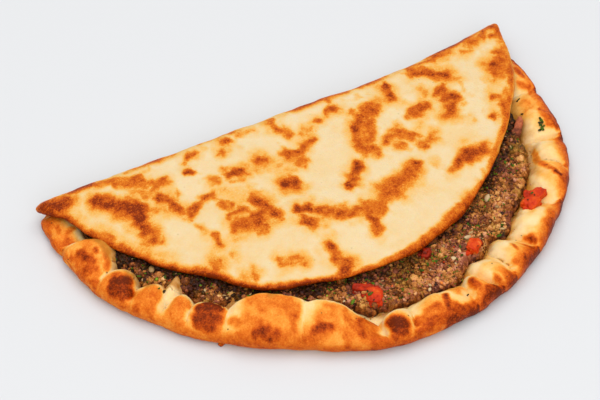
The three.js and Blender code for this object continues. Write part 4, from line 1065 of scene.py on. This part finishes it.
V, F, I = bread_mesh()
bake = bake_bread(V, I)
N = normals_of(V, F)
ang, beta, side = I[:, 4], I[:, 3], I[:, 2]
past = I[:, 1] - fold_y(I[:, 0])
arc = fold_arc(I[:, 0])
low_part = front(ang) < RIGHT_TIP_END + 4
is_rim = (front(ang) < RIGHT_TIP_END) & (beta > -89) & (beta < 175)
under_side = (side == 0) & (past < 0) & ~is_rim
amount = np.where(is_rim, smooth(-85, -30, beta) * (1 - 0.6 * smooth(140, 180, beta)), 0.45)
amount = np.where(under_side, 0.0, amount)
on_flap = (side == 0) & (past > arc * 0.9)
swell = np.where(on_flap, 0.9 * noise(V, 33, 6) + 0.5 * noise(V, 17, 7), 0) * smooth(0, 12, past - arc * 0.9)
swell += np.where(side == 0, 0.55 * noise(V, 15, 9) + 0.25 * noise(V, 7, 10), 0) * bell(past - arc * 0.66, arc * 0.3)
amount = amount * (1 + 0.7 * smooth(-98, -88, front(ang)) * is_rim * smooth(60, 100, beta))
push = swell + amount * (0.55 * noise(V, 13, 1) + 0.38 * noise(V, 6, 2) + 0.18 * noise(V, 2.6, 3))
push += np.where((side == 0) & (past > arc), 0.5 * smooth(0.35, 0.8, bake) * (0.6 + 0.4 * noise(V, 4, 4)), 0)
push += np.where(is_rim, 0.25 * smooth(0.6, 0.95, bake), 0)
V = V + N * push[:, None]
V[:, 2] = np.maximum(np.where(V[:, 2] > 19.5, 19.5 + 0.45 * (V[:, 2] - 19.5), V[:, 2]), 0.0)
# a fold of the lower sheet that stands up through the filling
for (ax, ay), (bx, by), high, wide in (((-99.0, -49.0), (-116.0, -65.0), 9.0, 5.4), ((-84.0, -82.0), (-91.0, -92.0), 4.6, 3.0), ((-89.7, -74.0), (-79.7, -76.5), 5.9, 4.8)):
    inner = (side == 1) & (past < 0)
    a0, b0 = np.array([ax, ay]), np.array([bx, by])
    t = np.clip(((V[:, :2] - a0) @ (b0 - a0)) / ((b0 - a0) @ (b0 - a0)), 0, 1)
    dd = np.linalg.norm(V[:, :2] - a0 - t[:, None] * (b0 - a0), axis=1)
    up = high * bell(dd, wide * (0.55 + 0.75 * t)) * smooth(-0.4, 0.5, t)
    V[:, 2] += np.where(inner, np.maximum(up - np.maximum(V[:, 2] - SHEET, 0), 0), 0)
r_flat = np.hypot(I[:, 0], I[:, 1])
gap = r_flat - fill_edge(ang)
# The soaked band widens to the right, where it also stands for painted warm shade at the foot of the rim.
soak = np.interp(front(ang), [-200, -110, -90, -60, -32, 10], [3.4, 3.4, 4.6, 5.0, 8.0, 11.0])
grease = np.where((side == 1) & (past < 0), (1 - smooth(0.0, 1.35 * soak, gap + 2.2 * noise(V, 5, 61) + 1.2 * noise(V, 2.2, 62))) * 0.95, 0)
crust = np.where(low_part, smooth(-80, -50, beta), 0.0) * (1 - smooth(0.2, 0.5, past / arc))
specks = np.where(is_rim & (beta > -40), 1.0, np.where(past > arc, 0.25, 0.0))
piece("dough_bread", V, F, DOUGH, "dough", {"bake": bake, "grease": grease, "specks": specks, "crust": crust})
print("bread", len(F))

V, F, T = meat_mesh()
def shade(x, y):
    """Painted shadow: mince is darker by the rim of the flap, where the flap shades it, more so to the right, and a
    little darker over the left end.
    """
    _, under = flap_under(x, y)
    deg = front(np.arctan2(y, x) / RAD)
    return (-np.interp(deg, [-200, -120, -100, -75, -45, 10], [0.20, 0.18, 0.12, 0.12, 0.24, 0.28]) * smooth(-14, -2, under)
            - np.interp(deg, [-200, -120, -100, -60, -45], [0.28, 0.24, 0.18, 0.18, 0.24]) * smooth(-6, 0.5, under)
            - 0.05 * smooth(-112, -124, deg))


def hues(x, y, spread_=0.0):
    p = np.stack([x, y, 0 * x], -1)
    return 0.55 * noise(p, 13, 46) + 0.35 * noise(p, 4.5, 47) + spread_


tone = 0.30 + 0.2 * T[:, 0] + 0.12 * T[:, 1] + 0.18 * noise(V, 7, 44) + shade(V[:, 0], V[:, 1])
piece("meat_core", V, F, MEAT, "meat_filling", {"tone": tone, "hue": hues(V[:, 0], V[:, 1])})
print("meat", len(F))

# loose grains of mince
for name, n, level, lo, hi, seed in (("meat_lumps", 430, 3, 1.0, 2.2, 10), ("meat_grains_large", 2350, 2, 0.5, 1.15, 11),
                                     ("meat_grains_small", 7500, 1, 0.26, 0.52, 12)):
    x, y = scatter(n, -9, 0.6, seed)
    z, _, _, _ = meat_top(x, y)
    s = rng.uniform(lo, hi, n)
    s = s * np.where(np.arctan2(y, x) < -112 * RAD, 1.25, 1.0)
    size = np.stack([s * rng.uniform(1.0, 1.5, n), s, s * rng.uniform(0.65, 0.9, n)], -1)
    P, Fg, nb = lumps(np.stack([x, y, z + (0.15 if level < 3 else -0.25) * s], -1), size, level, 0.34 if level < 3 else 0.5, seed)
    here = np.stack([x, y, 0 * x], -1)
    t = np.clip(rng.normal(0.54, 0.10 if level == 3 else 0.13, n) + 0.18 * noise(here, 7, 44) + 0.14 * noise(here, 3, 48) + 0.10 * noise(here, 22, 45) + shade(x, y), 0.02, 0.95)
    # Painted shade: the lower part of each grain is darker.
    t = np.repeat(t, nb) - 0.34 * smooth(0.1, -0.9, (P[:, 2] - np.repeat(z + (0.15 if level < 3 else -0.25) * s, nb)) / np.repeat(s, nb))
    t = np.clip(t + (t - 0.52) * np.repeat(0.55 * smooth(-106, -122, front(np.arctan2(y, x) / RAD)), nb), 0.0, 1.0)
    hue = np.repeat(hues(x, y, rng.normal(0, 0.35, n)), nb)
    piece(name, P, Fg, MEAT, None, {"tone": t, "hue": hue})
    print(name, len(Fg))


# crumbs of the filling that lie on the dough beside it
g = np.random.default_rng(71)
n = 330
deg = g.uniform(-196, 12, n)
deg = np.where(g.random(n) < 0.45, g.uniform(-95, 12, n), deg)
far = np.abs(g.normal(0, 1.9, n))
r = fill_edge(deg) + 0.4 + far
betas = np.linspace(96, 180, 43)
z = np.zeros(n)
for i in range(n):
    here = np.full_like(betas, deg[i])
    inn, up = section(here, betas)
    rr = outline(here) - inn
    z[i] = np.interp(r[i], rr[::-1] if rr[0] > rr[-1] else rr, up[::-1] if rr[0] > rr[-1] else up)
keep = z < 12.5
deg, r, z, far = deg[keep], r[keep], z[keep], far[keep]
s = g.uniform(0.3, 0.85, len(r)) * (1 - 0.12 * np.minimum(far, 4))
P, Fc, nb = lumps(np.stack([r * np.cos(deg * RAD), r * np.sin(deg * RAD), z + 0.25], -1),
                  np.stack([s * g.uniform(1.0, 1.6, len(r)), s, s * 0.7], -1), 2, 0.34, 72)
piece("meat_crumbs", P, Fc, MEAT, None,
      {"tone": np.repeat(g.normal(0.56, 0.13, len(r)), nb), "hue": np.repeat(g.normal(0.1, 0.5, len(r)), nb)})
print("meat_crumbs", len(Fc))


def bits(name, placed, extra, material, node=None, thick=0.35, level=2, seed=0, dims=((1.2, 2.4), (0.8, 1.4)), tones=(0.2, 0.7), lift=0.5):
    """Placed bits (x, y, length, width, turn, tone) and as many random ones."""
    g = np.random.default_rng(seed)
    rows = [list(p) for p in placed]
    x, y = scatter(extra, -4, 1.5, seed + 1)
    for i in range(extra):
        rows.append([x[i], y[i], g.uniform(*dims[0]), g.uniform(*dims[1]), g.uniform(0, 180), g.uniform(*tones)])
    rows = np.array(rows, float)
    z, _, _, _ = meat_top(rows[:, 0], rows[:, 1])
    size = np.stack([rows[:, 2] / 2, rows[:, 3] / 2, np.maximum(thick, rows[:, 3] * thick)], -1)
    at = np.stack([rows[:, 0], rows[:, 1], z + lift + size[:, 2] * 0.5], -1)
    P, Fb, nb = lumps(at, size, level, 0.3, seed, flat_turn(rows[:, 4]))
    t = np.repeat(rows[:, 5], nb)
    piece(name, P, Fb, material, node, {"tone": t, "pale": 0 * t})
    print(name, len(Fb))


PARSLEY = [(55.1, -98.7, 2.2, 1.4, 20, 0.6), (12.3, -111.5, 4, 2, 100, 0.45), (17.0, -110.1, 3, 1.6, 60, 0.5), (21.8, -110.4, 2.6, 1.6, 10, 0.5), (29.8, -125.5, 3.2, 1.8, 20, 1), (23.0, -127.3, 2.4, 1.5, 80, 0.5), (62.3, -110.3, 4.2, 1.8, 25, 0.5), (78.6, -102.0, 1.6, 1, 0, 0.7), (-46.5, -101.2, 3.2, 1.7, 10, 1), (-41.1, -103.5, 3, 1.6, 50, 1), (-31.0, -113.0, 3.4, 1.9, 30, 0.7), (-21.8, -114.9, 4.4, 1.7, 0, 0.45), (-3.4, -117.0, 2.8, 1.6, 80, 0.6), (1.8, -113.5, 2.2, 1.4, 30, 0.5), (-113.4, -49.3, 2.2, 1.6, 60, 0.8), (-109.4, -50.8, 2.8, 1.8, 80, 0.45), (-124.4, -32.7, 4.8, 1.6, -30, 1.25), (-120.0, -41.5, 3.4, 1.5, -50, 0.5), (-113.2, -59.4, 2, 1.4, 0, 0.4), (-92.0, -63.1, 2, 1.2, 30, 0.6), (91.3, -97.1, 2, 1.1, 10, 0.5), (45.9, -91.0, 2.4, 1.4, 10, 0.4), (72.5, -80.5, 2.4, 1.4, 60, 0.4), (86.0, -77.8, 2.6, 1.5, 30, 0.45), (88.1, -68.5, 2.2, 1.4, 80, 0.4)]
ONIONS = [(45.4, -104.9, 4.6, 2.4, -5, 0.85), (49.1, -102.0, 4.2, 1.6, 10, 0.55), (30.0, -114.7, 3.4, 2.4, -20, 0.9), (9.0, -124.9, 2.2, 1.6, 40, 1), (-2.9, -110.1, 2.6, 2.4, 30, 0.55), (-30.6, -106.3, 2.8, 2, 10, -0.3), (-34.7, -110.1, 1.6, 1.2, 0, 0.9), (-112.1, -41.1, 5.6, 3.4, 80, 0.42), (-110.7, -56.8, 1.8, 1.4, 20, 0.6), (72.0, -92.3, 3.2, 2.6, 40, 0.4), (66.0, -107.5, 4.2, 1.6, -20, 0.6), (21.5, -115.9, 2.2, 1.4, 0, 0.6), (-7.5, -114.7, 1.4, 1.2, 0, 0.4), (-86.1, -77.4, 4, 1.6, 10, 0.6), (70.3, -85.0, 5, 3.2, 20, 0.75), (-103.7, -58.2, 2.2, 1.4, 30, 0.6), (-81.3, -85.1, 2.8, 1.4, 20, 0.7), (-94.4, -67.5, 2.4, 1.6, 60, 0.7), (-75.2, -81.7, 2.6, 1.4, 0, 0.65), (-119.5, -45.2, 2, 1.5, 30, 0.5), (31.5, -102.8, 2.4, 1.4, 70, 0.5)]
RED_BITS = [(16.7, -124.5, 2.4, 1.8, 0, 1), (25.3, -114.8, 1.4, 1.2, 0, 1), (-7.2, -114.1, 2, 1.5, 0, 1), (-18.1, -104.6, 3.2, 2.2, 20, 0.8), (79.4, -106.7, 3.6, 2.6, 20, 0.35), (-53.9, -97.4, 1.6, 1.2, 0, 0.6), (7.1, -131.0, 2, 1.2, 10, 0.5), (24.0, -137.5, 2.6, 1, 10, 0.5)]
bits("parsley", PARSLEY, 620, HERB, thick=0.2, seed=31, dims=((0.7, 2.3), (0.5, 1.2)), tones=(0.15, 0.8))
bits("onion_bits", ONIONS, 46, ONION, thick=0.32, seed=33, dims=((1.1, 2.6), (0.8, 1.6)), tones=(0.3, 0.75), lift=0.3)
bits("tomato_bits", RED_BITS, 22, TOMATO_M, thick=0.32, seed=35, dims=((0.9, 2.0), (0.7, 1.3)), tones=(0.2, 0.7), lift=0.3)

# herbs and crumbs that lie on the bread: x, y, z, length, width, turn, tone
ON_BREAD = [(127.4, -52.1, 12.8, 2.75, 1.8, 100, 0.5), (127.2, -53.6, 12.6, 2.25, 1.5, 40, 0.3), (125.7, -53.0, 12.4, 2, 1.35, 150, 0.15), (125.5, -54.5, 12.1, 2.5, 1.65, 80, 0.4), (125.2, -56.8, 11.5, 2.75, 1.8, 60, 0.55), (123.6, -56.8, 11.0, 2.5, 1.5, 20, 0.2), (125.1, -57.5, 11.3, 1.75, 1.2, 120, 0.05), (127.6, -50.6, 13.0, 1.5, 1.05, 70, 0.1), (126.9, -55.9, 12.1, 1.5, 1.05, 10, 0.45), (128.5, -28.5, 7.9, 2.9, 1.5, 20, 0.2), (127.0, -28.9, 7.9, 1.6, 1, 0, 0.02), (122.5, -40.3, 9.7, 1.6, 1, 0, 0.02), (111.1, -82.5, 12.6, 0.6, 0.4, 0, 0), (108.4, -81.4, 11.4, 0.6, 0.4, 0, 0), (100.6, -92.7, 10.8, 0.7, 0.6, 0, 0), (-114.1, -59.1, 11.8, 2, 1.3, 30, 0.05), (-114.1, -59.9, 11.2, 1.6, 1.1, 0, 0.12), (-116.3, -57.8, 14.0, 1.2, 0.9, 0, 0.5), (-133.3, -18.9, 15.1, 1.3, 0.9, 20, 0), (-129.9, -6.5, 15.6, 0.9, 0.6, 0, 0), (-126.0, -43.1, 13.8, 1.6, 1, 0, 0.3), (44.3, -129.9, 14.7, 0.7, 0.5, 0, 0.02), (47.6, -139.5, 11.8, 0.7, 0.5, 0, 0.02), (71.1, -117.9, 10.4, 0.7, 0.5, 0, 0.1), (93.0, -113.4, 12.2, 0.6, 0.45, 0, 0.02), (23.6, -139.1, 10.4, 1.6, 0.9, 20, 0.04), (-146.1, -3.3, 7.8, 0.8, 0.5, 0, 0), (-147.3, -12.1, 9.5, 0.8, 0.4, 40, 0)]
ON_TOMATO = [(-22.1, -115.4, 13.7, 3.4, 1.7, 10, 0.5), (-22.3, -113.2, 13.6, 1.6, 1, 60, 0.2), (-22.3, -119.8, 13.4, 1.2, 0.8, 30, 0.05), (91.1, -97.4, 14.4, 2, 1.2, 10, 0.45), (91.5, -99.3, 14.3, 1.2, 0.8, 60, 0.1), (86.5, -100.5, 14.2, 1, 0.7, 0, 0.05), (45.0, -115.1, 13.8, 0.8, 0.6, 0, 0.1)]
rows = np.array(ON_BREAD + ON_TOMATO, float)
size = np.stack([rows[:, 3] * 0.55, rows[:, 4] * 0.55, 0.2 * rows[:, 4]], -1)
rows[:, 2] += 0.25
P, Fb, nb = lumps(rows[:, :3], size, 2, 0.35, 51, flat_turn(rows[:, 5], 0.15))
piece("herbs_on_bread", P, Fb, HERB, None, {"tone": np.repeat(rows[:, 6], nb)})
# a burnt crumb of dough pressed out under the rim
B3, F3 = ball(4)
k = np.array([1 + 0.25 * v for v in noise(B3 * 1.0, 0.8, 61)])
P = B3 * k[:, None] * np.array([3.0, 1.5, 0.9]) * (1 - 0.45 * smooth(0.2, 1.0, B3[:, :1]))
c, s_ = math.cos(-162 * RAD), math.sin(-162 * RAD)
P = P @ np.array([[c, s_, 0], [-s_, c, 0], [0, 0, 1]]) + np.array([-100.8, -97.2, 1.0])
P[:, 2] = np.maximum(P[:, 2], 0.05)
piece("burnt_crumb", P, F3, DOUGH, None, {"bake": 0.86 + 0.12 * noise(P, 1.5, 62), "grease": 0 * k, "specks": 0 * k, "crust": 0 * k})

# diced tomato: each piece is a few joined chunks (dx, dy, dz, length, width, height, turn, tone)
CHUNKS = {
    1: [(-1.1, -2.8, 0.2, 10.0, 8.4, 6.4, 20, 0.66), (5.4, 0.6, 0.6, 9.8, 6.6, 4.8, 14, 0.62), (0.4, 3.0, 0.4, 6.0, 4.4, 4.2, 60, 0.5),
        (-4.8, -3.8, -0.6, 4.4, 4.0, 4.0, 50, 0.7), (7.6, 3.2, 0.0, 4.6, 3.6, 3.2, -20, 0.72)],
    2: [(0.4, 0.0, 0.4, 8.6, 7.0, 6.4, 38, 0.72), (-4.2, -1.8, -0.8, 5.2, 2.8, 3.0, 14, 0.45), (3.6, 1.6, -0.4, 3.6, 5.2, 4.4, 60, 0.1)],
    3: [(1.6, -3.6, 0.7, 9.6, 8.8, 5.6, 52, 0.6), (-0.8, 4.2, 0.8, 11.0, 5.2, 4.0, -32, 0.34), (4.0, -0.2, 0.4, 4.6, 4.2, 4.2, 20, 0.42), (-1.6, 0.2, 0.2, 5.4, 5.6, 3.8, 60, 0.28),
        (-1.4, -6.0, -0.2, 4.6, 3.6, 3.6, 10, 0.5)],
    4: [(0.0, 0.0, 0.2, 6.4, 4.8, 4.4, 50, 0.25), (-2.8, 1.8, -0.2, 3.6, 2.6, 3.0, 20, 0.1)],
    5: [(0.6, 0.6, 0.1, 9.6, 4.2, 3.4, 46, 0.42), (3.6, 3.4, 0.3, 5.6, 2.6, 2.8, 62, 0.6), (-2.8, -2.6, 0.0, 5.2, 4.6, 3.4, 20, 0.16),
        (-3.6, -4.6, -0.2, 3.4, 3.4, 2.8, 60, 0.05)],
}
B, BF = ball(5)
for number, (tx, ty, tz, length, width, height, turn, square, seed) in enumerate(TOMATO, 1):
    allV, allF, allT = [], [], []
    for part, (dx, dy, dz, cl, cw, ch, ct, ctone) in enumerate(CHUNKS[number]):
        m = (np.abs(B) ** 4.6).sum(1) ** (-1 / 4.6)
        P = B * m[:, None]
        P = P * (1 + 0.15 * noise(P + seed * 7 + part * 3, 0.8, seed)[:, None] + 0.11 * noise(P + seed, 0.36, seed + 5)[:, None]
                 + 0.05 * noise(P + seed, 0.16, seed + 9)[:, None])
        P = P * np.array([cl / 2, cw / 2, ch / 2]) * 0.98
        c, s = math.cos(ct * RAD), math.sin(ct * RAD)
        P = P @ np.array([[c, s, 0], [-s, c, 0], [0, 0, 1]]) + np.array([tx + dx, ty + dy, tz + dz])
        allF.append(BF + sum(len(v) for v in allV))
        allV.append(P)
        allT.append(np.full(len(P), ctone))
    piece(f"diced_tomato_{number}", np.concatenate(allV), np.concatenate(allF), TOMATO_M, f"tomato_{number}",
          {"tone": np.concatenate(allT), "pale": np.full(sum(len(v) for v in allV), 0.75 if number == 5 else 0.0)})

# ---- stage ----
scene = bpy.context.scene
floor_mesh = bpy.data.meshes.new("stage_floor")
floor_mesh.from_pydata([(-4, -4, 0), (4, -4, 0), (4, 4, 0), (-4, 4, 0)], [], [(0, 1, 2, 3)])
floor = bpy.data.objects.new("stage_floor", floor_mesh)
scene.collection.objects.link(floor)
fm = bpy.data.materials.new("stage_floor")
fm.use_nodes = True
fm.node_tree.nodes["Principled BSDF"].inputs["Base Color"].default_value = (0.632, 0.640, 0.652, 1)
fm.node_tree.nodes["Principled BSDF"].inputs["Roughness"].default_value = 0.9
fm.node_tree.nodes["Principled BSDF"].inputs["Specular IOR Level"].default_value = 0.1
floor_mesh.materials.append(fm)

world = bpy.data.worlds.new("world")
scene.world = world
world.use_nodes = True
world.node_tree.nodes["Background"].inputs[0].default_value = (1.0, 1.0, 1.0, 1)
world.node_tree.nodes["Background"].inputs[1].default_value = 0.645


def area_light(name, direction, distance, size, power, colour=(1, 1, 1)):
    from mathutils import Vector
    data = bpy.data.lights.new(name, "AREA")
    data.shape = "DISK"
    data.size = size
    data.energy = power
    data.color = colour
    ob = bpy.data.objects.new(name, data)
    d = Vector(direction).normalized()
    ob.location = d * distance
    ob.rotation_mode = "QUATERNION"
    ob.rotation_quaternion = d.to_track_quat("Z", "Y")
    scene.collection.objects.link(ob)
    return ob


area_light("key", (0.05, 0.15, 1.0), 2.2, 2.6, 29.8)
area_light("fill", (-0.3, -0.75, 0.75), 2.4, 2.2, 25.5)

camera_data = bpy.data.cameras.new("camera")
camera = bpy.data.objects.new("camera", camera_data)
scene.collection.objects.link(camera)
scene.camera = camera
camera_data.sensor_width = 36.0
camera_data.lens = 141.82
camera_data.clip_start, camera_data.clip_end = 0.05, 20.0
camera.location = [float(v) for v in (np.array([-453.5, -798.0, 950.8]) + SHIFT) * 0.001]
az, el = -29.698 * RAD, 47.0 * RAD
look = np.array([-math.sin(az) * math.cos(el), math.cos(az) * math.cos(el), -math.sin(el)])
from mathutils import Vector

camera.rotation_mode = "QUATERNION"
camera.rotation_quaternion = Vector([float(v) for v in -look]).to_track_quat("Z", "Y")

scene.view_settings.view_transform = "Standard"
scene.view_settings.look = "None"
scene.view_settings.exposure = 0.0
scene.view_settings.gamma = 1.0
